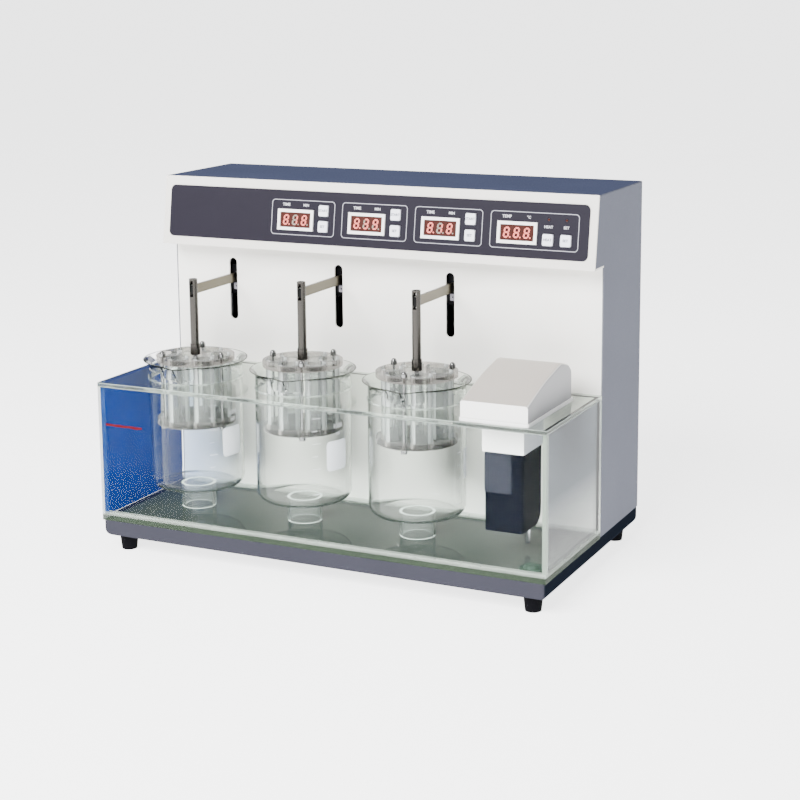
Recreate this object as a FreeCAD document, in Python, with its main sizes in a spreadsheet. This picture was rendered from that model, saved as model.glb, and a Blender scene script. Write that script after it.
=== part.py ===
"""Tablet disintegration tester: three lifted baskets over three beakers in a clear water bath.

Millimetres. +X runs to the right along the front, +Y runs to the back, +Z is up.
The origin is at the middle of the outline, on the surface that the feet stand on.
"""
import FreeCAD, Part, Sketcher
import math
import os

Vector = FreeCAD.Vector
Rotation = FreeCAD.Rotation
Placement = FreeCAD.Placement

# Every length that can be chosen by itself, in millimetres; counts and angles follow.
LENGTHS = {
    # base and head
    "foot_height": 17.0,
    "base_height": 19.0,
    "head_above_slot": 17.0,
    "head_height": 78.0,
    "head_overhang": 28.5,
    "fascia_lean": 12.0,
    "sheet_wall": 1.5,
    "panel_wall": 2.0,
    "cut_overrun": 4.0,
    "running_gap": 0.3,
    "seat_gap": 0.1,
    # base and feet
    "base_corner_radius": 4.0,
    "base_edge_radius": 8.0,
    "base_wall": 1.5,
    "deck_wall": 1.5,
    "deck_leg_inset": 60.0,
    "foot_radius": 10.5,
    "foot_tip_radius": 8.5,
    "foot_inset": 20.0,
    "foot_stem_radius": 3.0,
    "foot_stem_height": 5.0,
    "foot_recess_radius": 4.0,
    "foot_recess_depth": 9.0,
    # front panel
    "panel_return": 12.0,
    "panel_lap": 14.0,
    "slot_width": 10.0,
    "slot_height": 72.0,
    "slot_above_cover": 48.0,
    # stations
    "stroke": 55.0,
    "arm_thickness": 3.0,
    "arm_height": 10.5,
    "arm_notch_depth": 1.5,
    "arm_end_reach": 3.4,
    "arm_root_depth": 18.0,
    # guide block and its rack
    "block_width": 52.0,
    "block_depth": 26.0,
    "block_above_arm": 14.0,
    "block_below_arm": 20.0,
    "block_setback": 6.0,
    "nose_width": 8.0,
    "nose_height": 9.5,
    "nose_reach": 4.4,
    "guide_radius": 4.0,
    "guide_spacing": 32.0,
    "rack_back": 6.0,
    "rack_width": 14.0,
    "tooth_module": 1.5,
    "pinion_width": 10.0,
    "pinion_shaft_radius": 3.0,
    "mesh_backlash": 0.3,
    "pinion_above_slot_foot": 12.5,
    # drive frame and motors
    "frame_wall": 2.0,
    "frame_side_gap": 15.0,
    "frame_flange": 20.0,
    "lower_shelf_below_slot": 59.0,
    "upper_shelf_above_slot": 12.0,
    "frame_hole_radius": 5.0,
    "gearbox_radius": 26.0,
    "gearbox_length": 18.0,
    "motor_radius": 21.0,
    "motor_length": 36.0,
    "motor_socket_depth": 12.0,
    # basket
    "rod_radius": 4.75,
    "rod_wall": 1.1,
    "rod_above_arm": 12.0,
    "rod_slot_width": 4.2,
    "rod_slot_height": 18.0,
    "rod_slot_below_top": 2.0,
    "rod_pin_radius": 1.4,
    "pin_clearance": 0.05,
    "collar_radius": 5.6,
    "collar_height": 12.0,
    "hub_nut_radius": 5.0,
    "spigot_radius": 3.0,
    "plate_wall": 6.0,
    "plate_margin": 3.5,
    "tube_length": 77.5,
    "tube_radius": 12.0,
    "tube_wall": 1.3,
    "tube_spacing": 4.5,
    "tube_stand_proud": 1.0,
    "stud_radius": 1.5,
    "stud_inset": 5.5,
    "nut_radius": 3.4,
    "nut_height": 4.0,
    "nut_dome_radius": 3.0,
    "screen_wall": 0.6,
    "screen_inset": 1.5,
    # beaker
    "basket_side_gap": 6.3,
    "lowest_basket_gap": 30.8,
    "beaker_wall": 2.2,
    "beaker_height": 146.0,
    "beaker_corner": 11.0,
    "beaker_rim_overhang": 6.0,
    "beaker_flare_height": 9.0,
    "lip_flat": 1.6,
    "spout_reach": 10.0,
    "spout_tip_width": 5.0,
    "spout_clearance": 0.5,
    "spout_root_depth": 12.5,
    "beaker_stand_height": 25.0,
    "beaker_stand_radius": 19.5,
    "beaker_stand_wall": 3.0,
    # tank
    "tank_overhang": 1.0,
    "tank_rear_gap": 5.0,
    "tank_floor_wall": 6.0,
    "tank_wall": 6.0,
    "cover_wall": 5.0,
    "beaker_above_cover": 19.0,
    "beaker_hole_gap": 1.2,
    "cover_front_margin": 26.3,
    "cover_rear_margin": 28.3,
    "cover_left_margin": 24.3,
    "cover_web": 30.6,
    "neck_to_hole": 39.0,
    "neck_side_margin": 38.7,
    "drain_radius": 13.0,
    "drain_flange_height": 2.0,
    "drain_height": 5.0,
    "drain_dome_foot_radius": 10.5,
    "drain_dome_top_radius": 6.5,
    "drain_side_inset": 23.0,
    "drain_front_inset": 24.0,
    # heater and pump unit
    "unit_front_inset": 66.0,
    "lip_width": 76.0,
    "lip_length": 128.0,
    "lip_wall": 3.5,
    "hood_width": 73.0,
    "hood_length": 125.0,
    "hood_front_height": 17.5,
    "hood_peak_height": 43.0,
    "hood_peak_setback": 30.0,
    "hood_back_height": 30.0,
    "hood_crown": 3.0,
    "hood_crown_radius": 260.0,
    "hood_peak_radius": 24.0,
    "hood_shoulder_setback": 9.0,
    "hood_back_radius": 9.0,
    "hood_side_shift": 4.0,
    "hood_wall": 2.0,
    "hood_edge_radius": 3.0,
    "lip_corner_radius": 3.0,
    "neck_width": 46.0,
    "neck_length": 54.0,
    "neck_wall": 3.0,
    "neck_drop": 39.0,
    "neck_rise": 9.0,
    "box_width": 43.0,
    "box_length": 51.0,
    "box_floor_gap": 29.0,
    "box_wall": 2.5,
    "box_corner": 4.0,
    "box_heel_radius": 15.0,
    "intake_width": 2.5,
    "intake_length": 24.0,
    "intake_pitch": 6.0,
    "heater_radius": 4.0,
    "heater_leg_spacing": 18.0,
    "heater_floor_gap": 24.0,
    "heater_set_forward": 8.0,
    "probe_radius": 3.0,
    "probe_floor_gap": 7.5,
    "probe_side_offset": 12.0,
    "probe_front_offset": 12.0,
    "probe_head_radius": 5.0,
    "probe_head_height": 4.5,
    # control fascia, measured up its slope
    "overlay_side_margin": 8.5,
    "overlay_top_margin": 10.41768,
    "overlay_bottom": 9.5,
    "overlay_wall": 0.8,
    "overlay_corner": 6.0,
    "last_group_inset": 119.5,
    "group_pitch": 89.0,
    "display_offset": 31.0,
    "display_rise": 35.5,
    "bezel_width": 45.0,
    "bezel_height": 23.5,
    "bezel_band": 3.4,
    "bezel_proud": 1.5,
    "display_sink": 0.9,
    "key_offset": 66.0,
    "second_key_offset": 86.0,
    "upper_key_rise": 47.2,
    "lower_key_rise": 29.6,
    "key_width": 11.8,
    "key_height": 12.4,
    "key_corner": 2.0,
    "key_proud": 1.8,
    "key_bevel": 0.5,
    "key_travel": 1.0,
    "key_flange": 1.6,
    "key_flange_wall": 1.0,
    "key_stem_radius": 1.6,
    "lamp_rise": 51.0,
    "lamp_radius": 1.2,
    "board_setback": 12.0,
    "board_wall": 1.6,
    "board_margin": 8.0,
    "board_end_margin": 16.0,
    "board_height": 60.0,
    "switch_side": 6.2,
    "standoff_radius": 3.0,
    "standoff_inset": 4.5,
    "switch_height": 3.1,
    # rear panel and its fittings
    "rear_inset": 4.0,
    "vent_length": 46.0,
    "vent_width": 4.0,
    "vent_pitch": 9.0,
    "vent_below_slot": 7.0,
    "vent_side_offset": 110.0,
    "entry_width": 50.0,
    "entry_height": 66.0,
    "entry_flange": 2.5,
    "entry_side_inset": 65.0,
    "entry_rise": 70.0,
    "entry_body_depth": 30.0,
    "entry_body_inset": 4.0,
    "inlet_width": 25.0,
    "inlet_height": 17.0,
    "inlet_depth": 16.0,
    "inlet_drop": 14.0,
    "blade_width": 2.0,
    "blade_height": 6.0,
    "blade_reach": 12.0,
    "blade_spacing": 7.0,
    "blade_stagger": 2.0,
    "rocker_width": 20.0,
    "rocker_height": 13.0,
    "rocker_rise": 18.0,
    "rocker_proud": 4.6,
    "rocker_depth": 9.0,
    "rocker_gap": 1.0,
    "pivot_radius": 1.5,
    "pivot_reach": 1.0,
    "rocker_dish_radius": 17.0,
    "rocker_dish_depth": 1.3,
    "socket_pitch": 34.0,
    "socket_radius": 10.0,
    "socket_body_radius": 7.5,
    "socket_hole_radius": 5.5,
    "socket_hole_depth": 10.0,
    "socket_flange": 3.0,
    "socket_body_depth": 18.0,
    "socket_from_entry": 80.0,
    # supply
    "supply_width": 150.0,
    "supply_depth": 50.0,
    "supply_height": 55.0,
    "supply_side_offset": 90.0,
    "supply_flange": 10.0,
    "supply_rear_gap": 7.2,
}
COUNTS = {
    "station_count": 3,
    "tubes_per_basket": 6,
    "studs_per_basket": 3,
    "socket_count": 3,
    "pinion_teeth": 18,
    "rack_teeth": 16,
    "vent_count": 9,
    "intake_count": 5,
}
ANGLES = {
    "pressure_angle": 20.0,
    "rocker_tilt": 8.0,
    "tube_turn": 30.0,
    "spout_turn": 12.0,
    "spout_half_angle": 22.0,
}
# How far down its stroke each carriage stands in the photograph, and how its basket is turned.
REST_BELOW_TOP_SHARES = (0.264, 0.158, 0.158)
BASKET_TURNS = (-10.0, 57.0, 35.0)
# The depth of a tooth's root below the pitch line, as a share of the module.
DEDENDUM_SHARE = 1.25
# Where the middle point of a beaker's flare lies, as shares of the flare's width and height.
FLARE_SHARES = (0.27, 0.6)


class Size:
    """A number with the spreadsheet expression that gives it, so that both follow one formula."""

    def __init__(self, value, text):
        self.value = value
        self.text = text

    @staticmethod
    def of(other):
        return other if isinstance(other, Size) else Size(other, repr(other))

    def joined(self, other, sign, value):
        return Size(value, f"({self.text} {sign} {other.text})")

    def __add__(self, other):
        other = Size.of(other)
        return self.joined(other, "+", self.value + other.value)

    def __sub__(self, other):
        other = Size.of(other)
        return self.joined(other, "-", self.value - other.value)

    def __mul__(self, other):
        other = Size.of(other)
        return self.joined(other, "*", self.value * other.value)

    def __truediv__(self, other):
        other = Size.of(other)
        return self.joined(other, "/", self.value / other.value)

    def __radd__(self, other):
        return Size.of(other) + self

    def __rsub__(self, other):
        return Size.of(other) - self

    def __rmul__(self, other):
        return Size.of(other) * self

    def __neg__(self):
        return Size(-self.value, f"(-{self.text})")

    def __float__(self):
        return float(self.value)


doc = FreeCAD.newDocument("disintegration_tester")
sheet = doc.addObject("Spreadsheet::Sheet", "Sizes")
for row, (alias, number) in enumerate({**LENGTHS, **COUNTS, **ANGLES}.items(), start=1):
    sheet.set(f"A{row}", alias)
    sheet.set(f"B{row}", str(number))
    sheet.setAlias(f"B{row}", alias)
doc.recompute()


class Sheet:
    """Reads a cell of the spreadsheet by its alias, as a Size."""

    def __getattr__(self, alias):
        return Size(float(sheet.get(alias)), f"Sizes.{alias}")


S = Sheet()
ZERO = Size(0.0, "0")
made_nodes = {}


# Drawing helpers

def bind(item, prop, size):
    """Ties one property of an object to the spreadsheet."""
    item.setExpression(prop, Size.of(size).text)


def place(item, x=ZERO, y=ZERO, z=ZERO, axis=None, angle=None):
    """Puts an object at a point, turned by an angle in degrees about an axis through that point."""
    if axis is not None:
        item.Placement = Placement(Vector(), Rotation(Vector(*axis), float(angle)))
        bind(item, ".Placement.Rotation.Angle", angle)
    for letter, size in zip("xyz", (x, y, z)):
        bind(item, f".Placement.Base.{letter}", size)
    return item


def box(name, x, y, z, width, depth, height):
    """A box between x and x + width, y and y + depth, z and z + height."""
    item = doc.addObject("Part::Box", name)
    for prop, size in (("Length", width), ("Width", depth), ("Height", height)):
        bind(item, prop, size)
    return place(item, x, y, z)


AXES = {"z": None, "y": (1, 0, 0), "x": (0, 1, 0)}


def cylinder(name, x, y, z, radius, height, along="z"):
    """A cylinder that starts at the point and runs along +Z, +Y or +X."""
    item = doc.addObject("Part::Cylinder", name)
    bind(item, "Radius", radius)
    bind(item, "Height", height)
    if AXES[along] is None:
        return place(item, x, y, z)
    return place(item, x, y, z, AXES[along], Size.of(-90.0 if along == "y" else 90.0))


def cone(name, x, y, z, radius_low, radius_high, height):
    item = doc.addObject("Part::Cone", name)
    bind(item, "Radius1", radius_low)
    bind(item, "Radius2", radius_high)
    bind(item, "Height", height)
    return place(item, x, y, z)


def fuse(name, *pieces):
    item = doc.addObject("Part::MultiFuse", name)
    item.Shapes = list(pieces)
    item.Refine = True
    return item


def cut(name, base, *tools):
    item = doc.addObject("Part::Cut", name)
    item.Base = base
    item.Tool = tools[0] if len(tools) == 1 else fuse(name + "_tools", *tools)
    item.Refine = True
    return item


def group(name, *pieces):
    """Separate solids that share one node."""
    item = doc.addObject("Part::Compound", name)
    item.Links = list(pieces)
    return item


def node(item, label):
    """Names the finished object, whose label becomes its file's name."""
    item.Label = label
    made_nodes[label] = item
    return item


def plane(body, role):
    return next(feature for feature in body.Origin.OriginFeatures if feature.Role == role)


def sketch(body, role, loops, offset=None):
    """A sketch of polygons and circles whose every point is tied to the spreadsheet."""
    item = body.newObject("Sketcher::SketchObject", body.Name + "_sketch")
    item.AttachmentSupport = [(plane(body, role), "")]
    item.MapMode = "FlatFace"
    if offset is not None:
        bind(item, ".AttachmentOffset.Base.z", offset)
    for loop in loops:
        if loop[0] == "circle":
            add_circle(item, *loop[1:])
        else:
            add_polygon(item, loop)
    return item


def tie(item, kind, first, value):
    index = item.addConstraint(Sketcher.Constraint(kind, *first, float(value)))
    item.setExpression(f"Constraints[{index}]", Size.of(value).text)


def add_circle(item, x, y, radius):
    edge = item.addGeometry(
        Part.Circle(Vector(float(x), float(y)), Vector(0, 0, 1), float(radius)), False)
    tie(item, "DistanceX", (-1, 1, edge, 3), x)
    tie(item, "DistanceY", (-1, 1, edge, 3), y)
    tie(item, "Radius", (edge,), radius)


def add_polygon(item, points):
    first = item.GeometryCount
    corners = [Vector(float(x), float(y)) for x, y in points]
    for number, corner in enumerate(corners):
        item.addGeometry(Part.LineSegment(corner, corners[(number + 1) % len(corners)]), False)
    for number in range(len(points)):
        following = first + (number + 1) % len(points)
        item.addConstraint(Sketcher.Constraint("Coincident", first + number, 2, following, 1))
    for number, (x, y) in enumerate(points):
        tie(item, "DistanceX", (-1, 1, first + number, 1), x)
        tie(item, "DistanceY", (-1, 1, first + number, 1), y)


def rectangle(left, bottom, width, height):
    right, top = left + width, bottom + height
    return [(left, bottom), (right, bottom), (right, top), (left, top)]


def new_body(name):
    return doc.addObject("PartDesign::Body", name)


def pad(body, profile, length, symmetric=False, back=False):
    item = body.newObject("PartDesign::Pad", body.Name + "_pad")
    item.Profile = profile
    bind(item, "Length", length)
    if symmetric:
        item.SideType = "Symmetric"
    item.Reversed = back
    return item


def pocket(body, profile, length, symmetric=False, back=False):
    item = body.newObject("PartDesign::Pocket", body.Name + "_pocket")
    item.Profile = profile
    bind(item, "Length", length)
    if symmetric:
        item.SideType = "Symmetric"
    item.Reversed = back
    return item


def round_edges(body, feature, radius, wanted):
    """Fillets the edges of a body's feature that a test on the edge picks."""
    doc.recompute()
    names = [f"Edge{number}" for number, edge in enumerate(feature.Shape.Edges, start=1) if wanted(edge)]
    item = body.newObject("PartDesign::Fillet", body.Name + "_fillet")
    item.Base = (feature, names)
    bind(item, "Radius", radius)
    return item


def bevel_edges(body, feature, size, wanted):
    """Chamfers the edges of a body's feature that a test on the edge picks."""
    doc.recompute()
    names = [f"Edge{number}" for number, edge in enumerate(feature.Shape.Edges, start=1) if wanted(edge)]
    item = body.newObject("PartDesign::Chamfer", body.Name + "_chamfer")
    item.Base = (feature, names)
    bind(item, "Size", size)
    return item


def runs_along(edge, direction, slack=1e-6):
    """True for a straight edge that is parallel to a direction."""
    if len(edge.Vertexes) != 2 or not isinstance(edge.Curve, Part.Line):
        return False
    run = edge.Vertexes[1].Point.sub(edge.Vertexes[0].Point)
    return run.cross(Vector(*direction)).Length < slack * max(run.Length, 1.0)


# Derived sizes: the tubes set the beakers, the beakers set the tank, and the tank sets the rest
stations = int(COUNTS["station_count"])
tube_circle_radius = S.tube_radius * 2 + S.tube_spacing
plate_radius = tube_circle_radius + S.tube_radius + S.plate_margin
beaker_radius = plate_radius + S.basket_side_gap + S.beaker_wall
rim_radius = beaker_radius + S.beaker_rim_overhang
hole_radius = beaker_radius + S.beaker_hole_gap
neck_opening = S.neck_width + S.running_gap * 2
tank_width = (S.cover_left_margin + hole_radius * 2 * stations + S.cover_web * (stations - 1)
              + S.neck_to_hole + neck_opening + S.neck_side_margin)
tank_depth = S.cover_front_margin + hole_radius * 2 + S.cover_rear_margin
column_depth = (S.panel_wall + S.block_setback * 2 + S.block_depth + S.running_gap + S.frame_wall
                + S.frame_flange + S.supply_depth + S.supply_rear_gap + S.sheet_wall + S.rear_inset)
body_depth = tank_depth + S.tank_rear_gap + column_depth
body_width = tank_width - S.tank_overhang * 2

# Derived places, shared by the pieces that meet there
half_width = body_width / 2
front = -body_depth / 2
back = body_depth / 2
base_top = S.foot_height + S.base_height
tank_floor_top = base_top + S.tank_floor_wall
beaker_foot = tank_floor_top + S.beaker_stand_height
cover_top = beaker_foot + S.beaker_height - S.beaker_above_cover
tank_rim = cover_top - S.cover_wall
slot_bottom = cover_top + S.slot_above_cover
slot_top = slot_bottom + S.slot_height
column_front = back - column_depth
head_bottom = slot_top + S.head_above_slot
head_top = head_bottom + S.head_height
fascia_foot = column_front - S.head_overhang
rear_face = back - S.rear_inset
inner_half_width = half_width - S.sheet_wall
lean_text = "atan(Sizes.fascia_lean / Sizes.head_height)"
lean = Size(math.degrees(math.atan(float(S.fascia_lean) / float(S.head_height))), lean_text)
lean_sine = Size(math.sin(math.radians(lean.value)), f"sin({lean_text})")
lean_cosine = Size(math.cos(math.radians(lean.value)), f"cos({lean_text})")
slope_height = S.head_height / lean_cosine
station_line = front + S.cover_front_margin + hole_radius
tank_half_width = tank_width / 2
tank_back = front + tank_depth
top_of_stroke = slot_bottom + (S.slot_height + S.stroke) / 2
lower_shelf = slot_bottom - S.lower_shelf_below_slot
upper_shelf = slot_top + S.upper_shelf_above_slot
pinion_height = slot_bottom + S.pinion_above_slot_foot
entry_x = S.entry_side_inset - half_width
block_front = column_front + S.panel_wall + S.block_setback
guide_line = block_front + S.block_depth / 2
web_front = block_front + S.block_depth + S.block_setback + S.running_gap
pitch_radius = S.tooth_module * S.pinion_teeth / 2
rack_pitch_line = S.block_width / 2 + S.rack_back + S.tooth_module
pinion_offset = rack_pitch_line + pitch_radius
tooth_pitch = S.tooth_module * math.pi
rack_length = tooth_pitch * S.rack_teeth


def station_x(number):
    return (hole_radius * 2 + S.cover_web) * number + hole_radius + S.cover_left_margin - tank_half_width


def rest_height(number):
    """Height of the middle of a station's arm as it stands in the photograph."""
    return top_of_stroke - S.stroke * REST_BELOW_TOP_SHARES[number]


# Base and feet

def base_tray():
    """Folded pan with rounded lower edges and a hole for each foot."""
    body = new_body("BaseTray")
    outline = sketch(body, "YZ_Plane", [rectangle(front, S.foot_height, body_depth, S.base_height)])
    block = pad(body, outline, body_width, symmetric=True)
    upright = round_edges(body, block, S.base_corner_radius, lambda edge: runs_along(edge, (0, 0, 1)))
    low = S.foot_height.value
    round_edges(body, upright, S.base_edge_radius, lambda edge: (
        abs(edge.BoundBox.ZMax - low) < 1e-3 and abs(edge.BoundBox.ZMin - low) < 1e-3))
    inside = sketch(body, "YZ_Plane", [[
        (front + S.base_wall, base_top + S.cut_overrun), (back - S.base_wall, base_top + S.cut_overrun),
        (back - S.base_wall, S.foot_height + S.base_edge_radius),
        (back - S.base_edge_radius, S.foot_height + S.base_wall),
        (front + S.base_edge_radius, S.foot_height + S.base_wall),
        (front + S.base_wall, S.foot_height + S.base_edge_radius)]])
    pocket(body, inside, body_width - S.base_edge_radius * 2, symmetric=True)
    holes = [("circle", x, y, S.foot_stem_radius + S.seat_gap) for x, y in foot_places()]
    floor_sketch = sketch(body, "XY_Plane", holes, offset=S.foot_height - S.cut_overrun)
    body.Tip = pocket(body, floor_sketch, S.base_wall + S.cut_overrun * 2, back=True)
    return node(body, "base_tray")


def foot_places():
    """The four corners, front left first."""
    return [((half_width - S.foot_inset) * across, (back - S.foot_inset) * along)
            for along in (-1, 1) for across in (-1, 1)]


def rubber_feet():
    """Tapered feet with a stem through the pan and a recess for the screw."""
    feet = []
    for number, (x, y) in enumerate(foot_places()):
        name = f"Foot{number}"
        tip = cone(name + "_tip", x, y, ZERO, S.foot_tip_radius, S.foot_radius, S.foot_height)
        stem = cylinder(name + "_stem", x, y, S.foot_height, S.foot_stem_radius, S.foot_stem_height)
        recess = cylinder(name + "_recess", x, y, -S.cut_overrun,
                          S.foot_recess_radius, S.foot_recess_depth + S.cut_overrun)
        feet.append(cut(name, fuse(name + "_whole", tip, stem), recess))
    return node(group("RubberFeet", *feet), "rubber_feet")


def base_deck():
    """Deck that closes the pan, on two folded legs that stand on the pan's floor."""
    body = new_body("BaseDeck")
    deep = body_depth / 2 - S.base_wall - S.seat_gap
    leg = deep - S.deck_leg_inset
    low = S.foot_height + S.base_wall
    under = base_top - S.deck_wall
    outline = sketch(body, "YZ_Plane", [[
        (-deep, under), (-leg, under), (-leg, low), (-leg + S.deck_wall, low),
        (-leg + S.deck_wall, under), (leg - S.deck_wall, under), (leg - S.deck_wall, low),
        (leg, low), (leg, under), (deep, under), (deep, base_top), (-deep, base_top)]])
    pad(body, outline, body_width - S.base_edge_radius * 2 - S.seat_gap * 2, symmetric=True)
    return node(body, "base_deck")


# Column and head

def outer_cover():
    """Bent sheet: two sides with the head's overhang, and the top between them."""
    body = new_body("OuterCover")
    fascia_back = S.panel_wall / lean_cosine
    low = head_bottom + S.panel_wall
    foot_step = S.panel_wall * S.fascia_lean / S.head_height
    outline = sketch(body, "YZ_Plane", [[
        (column_front, base_top), (back, base_top), (back, head_top),
        (fascia_foot + S.fascia_lean + fascia_back, head_top),
        (fascia_foot + fascia_back + foot_step, low), (column_front, low)]])
    whole = pad(body, outline, body_width, symmetric=True)
    top = head_top.value
    round_edges(body, whole, S.sheet_wall, lambda edge: (
        runs_along(edge, (0, 1, 0)) and edge.CenterOfMass.z > top - 1e-3))
    inside = sketch(body, "YZ_Plane", [rectangle(
        fascia_foot - S.cut_overrun, base_top - S.cut_overrun,
        back - fascia_foot + S.cut_overrun * 2,
        head_top - base_top - S.sheet_wall + S.cut_overrun)])
    body.Tip = pocket(body, inside, body_width - S.sheet_wall * 2, symmetric=True)
    return node(body, "outer_cover")


def front_panel():
    """Flat white panel with returned sides and one rounded slot for each arm."""
    body = new_body("FrontPanel")
    outline = sketch(body, "XY_Plane", [[
        (-inner_half_width, column_front), (inner_half_width, column_front),
        (inner_half_width, column_front + S.panel_return),
        (inner_half_width - S.panel_wall, column_front + S.panel_return),
        (inner_half_width - S.panel_wall, column_front + S.panel_wall),
        (-inner_half_width + S.panel_wall, column_front + S.panel_wall),
        (-inner_half_width + S.panel_wall, column_front + S.panel_return),
        (-inner_half_width, column_front + S.panel_return)]], offset=base_top)
    pad(body, outline, head_bottom - base_top + S.panel_lap)
    slots = []
    for number in range(stations):
        slots.append(rectangle(station_x(number) - S.slot_width / 2, slot_bottom,
                               S.slot_width, S.slot_height))
    openings = sketch(body, "XZ_Plane", slots)
    cut_through = pocket(body, openings, body_depth, symmetric=True)
    radius = S.slot_width / 2 - S.seat_gap
    low, high = slot_bottom.value, slot_top.value

    def wanted(edge):
        return (runs_along(edge, (0, 1, 0)) and low - 1e-3 < edge.CenterOfMass.z < high + 1e-3
                and abs(edge.Length - S.panel_wall.value) < 1e-3)

    body.Tip = round_edges(body, cut_through, radius, wanted)
    return node(body, "front_panel")


def socket_x(number):
    return entry_x + S.socket_from_entry + S.socket_pitch * number


def rear_panel():
    """Flat sheet with two banks of vents and the cut-outs for the power entry and the sockets."""
    body = new_body("RearPanel")
    outline = sketch(body, "XZ_Plane", [rectangle(
        -inner_half_width, base_top, inner_half_width * 2, head_top - base_top - S.sheet_wall)],
        offset=-rear_face)
    pad(body, outline, S.sheet_wall)
    holes = []
    for side in (-1, 1):
        for number in range(int(COUNTS["vent_count"])):
            holes.append(rectangle(S.vent_side_offset * side - S.vent_length / 2,
                                   slot_bottom - S.vent_below_slot + S.vent_pitch * number,
                                   S.vent_length, S.vent_width))
    holes.append(rectangle(
        entry_x - S.entry_width / 2 + S.entry_body_inset,
        base_top + S.entry_rise - S.entry_height / 2 + S.entry_body_inset,
        S.entry_width - S.entry_body_inset * 2, S.entry_height - S.entry_body_inset * 2))
    for number in range(int(COUNTS["socket_count"])):
        holes.append(("circle", socket_x(number), base_top + S.entry_rise,
                      S.socket_body_radius + S.seat_gap))
    body.Tip = pocket(body, sketch(body, "XZ_Plane", holes), body_depth * 2, symmetric=True)
    return node(body, "rear_panel")


# Pieces that lie on the sloping fascia are drawn upright and leaned back together.

def lean_back(item):
    """Moves a piece drawn with X across, Z up the slope and -Y outwards onto the fascia."""
    return place(item, ZERO, fascia_foot, head_bottom, (1, 0, 0), -lean)


def group_x(number):
    """Left edge of a control group, counted back from the last, which keeps to the right end."""
    return half_width - S.last_group_inset - S.group_pitch * (3 - number)


def display_centres():
    return [(group_x(number) + S.display_offset, S.display_rise) for number in range(4)]


def key_centres():
    """Two keys one over the other for each timer, and two side by side for the bath."""
    centres = {}
    for number in range(3):
        x = group_x(number) + S.key_offset
        centres[f"timer_{number + 1}_start_key"] = (x, S.upper_key_rise)
        centres[f"timer_{number + 1}_set_key"] = (x, S.lower_key_rise)
    centres["bath_heat_key"] = (group_x(3) + S.key_offset, S.lower_key_rise)
    centres["bath_set_key"] = (group_x(3) + S.second_key_offset, S.lower_key_rise)
    return centres


def lamp_centres():
    return [(group_x(3) + offset, S.lamp_rise) for offset in (S.key_offset, S.second_key_offset)]


def fascia_holes(gap):
    """The cut-outs behind the displays, keys and lamps, each larger than its piece by a gap."""
    holes = []
    for x, y in display_centres():
        width, height = S.bezel_width + gap * 2, S.bezel_height + gap * 2
        holes.append(rectangle(x - width / 2, y - height / 2, width, height))
    for x, y in key_centres().values():
        width, height = S.key_width + gap * 2, S.key_height + gap * 2
        holes.append(rectangle(x - width / 2, y - height / 2, width, height))
    for x, y in lamp_centres():
        holes.append(("circle", x, y, S.lamp_radius + gap))
    return holes


def head_fascia():
    """White sloping front of the head with its soffit bent back to the front panel."""
    body = new_body("HeadFascia")
    run = S.head_overhang
    soffit = sketch(body, "YZ_Plane", [[
        (ZERO, ZERO), (run * lean_cosine, run * lean_sine),
        (run * lean_cosine - S.panel_wall * lean_sine, run * lean_sine + S.panel_wall * lean_cosine),
        (S.panel_wall, S.panel_wall * lean_cosine + S.panel_wall * lean_sine),
        (S.panel_wall, slope_height - S.panel_wall * lean_sine),
        (ZERO, slope_height)]])
    pad(body, soffit, body_width, symmetric=True)
    holes = sketch(body, "XZ_Plane", fascia_holes(S.running_gap))
    body.Tip = pocket(body, holes, S.panel_wall * 2, symmetric=True)
    return node(lean_back(body), "head_fascia")


def control_overlay():
    """Dark printed film, with rounded corners, over the white fascia."""
    body = new_body("ControlOverlay")
    wide = body_width - S.overlay_side_margin * 2
    outline = sketch(body, "XZ_Plane", [rectangle(
        -wide / 2, S.overlay_bottom, wide, slope_height - S.overlay_bottom - S.overlay_top_margin)])
    film = pad(body, outline, S.overlay_wall)
    round_edges(body, film, S.overlay_corner, lambda edge: runs_along(edge, (0, 1, 0)))
    holes = sketch(body, "XZ_Plane", fascia_holes(S.running_gap))
    body.Tip = pocket(body, holes, S.panel_wall * 2, symmetric=True)
    return node(lean_back(body), "control_overlay")


def display_bezels():
    """White window frames, standing through the film and the fascia."""
    body_list = []
    for number, (x, y) in enumerate(display_centres()):
        left, low = x - S.bezel_width / 2, y - S.bezel_height / 2
        outer = box(f"Bezel{number}_outer", left, -S.bezel_proud - S.overlay_wall, low,
                    S.bezel_width, S.bezel_proud + S.overlay_wall + S.panel_wall, S.bezel_height)
        inner = box(f"Bezel{number}_inner", left + S.bezel_band,
                    -S.bezel_proud - S.overlay_wall - S.cut_overrun, low + S.bezel_band,
                    S.bezel_width - S.bezel_band * 2,
                    S.bezel_proud + S.overlay_wall + S.panel_wall + S.cut_overrun * 2,
                    S.bezel_height - S.bezel_band * 2)
        body_list.append(cut(f"Bezel{number}", outer, inner))
    return node(lean_back(group("DisplayBezels", *body_list)), "display_bezels")


def display_modules():
    """Three-digit display blocks seated in the frames, and the two status lamps."""
    pieces = []
    face = -S.overlay_wall - S.bezel_proud + S.display_sink
    for number, (x, y) in enumerate(display_centres()):
        width = S.bezel_width - S.bezel_band * 2 - S.seat_gap * 2
        height = S.bezel_height - S.bezel_band * 2 - S.seat_gap * 2
        pieces.append(box(f"Display{number}", x - width / 2, face, y - height / 2,
                          width, S.board_setback - face, height))
    for number, (x, y) in enumerate(lamp_centres()):
        pieces.append(cylinder(f"Lamp{number}", x, -S.overlay_wall - S.running_gap, y, S.lamp_radius,
                               S.board_setback + S.overlay_wall + S.running_gap, along="y"))
    return node(lean_back(group("DisplayModules", *pieces)), "display_modules")


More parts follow.
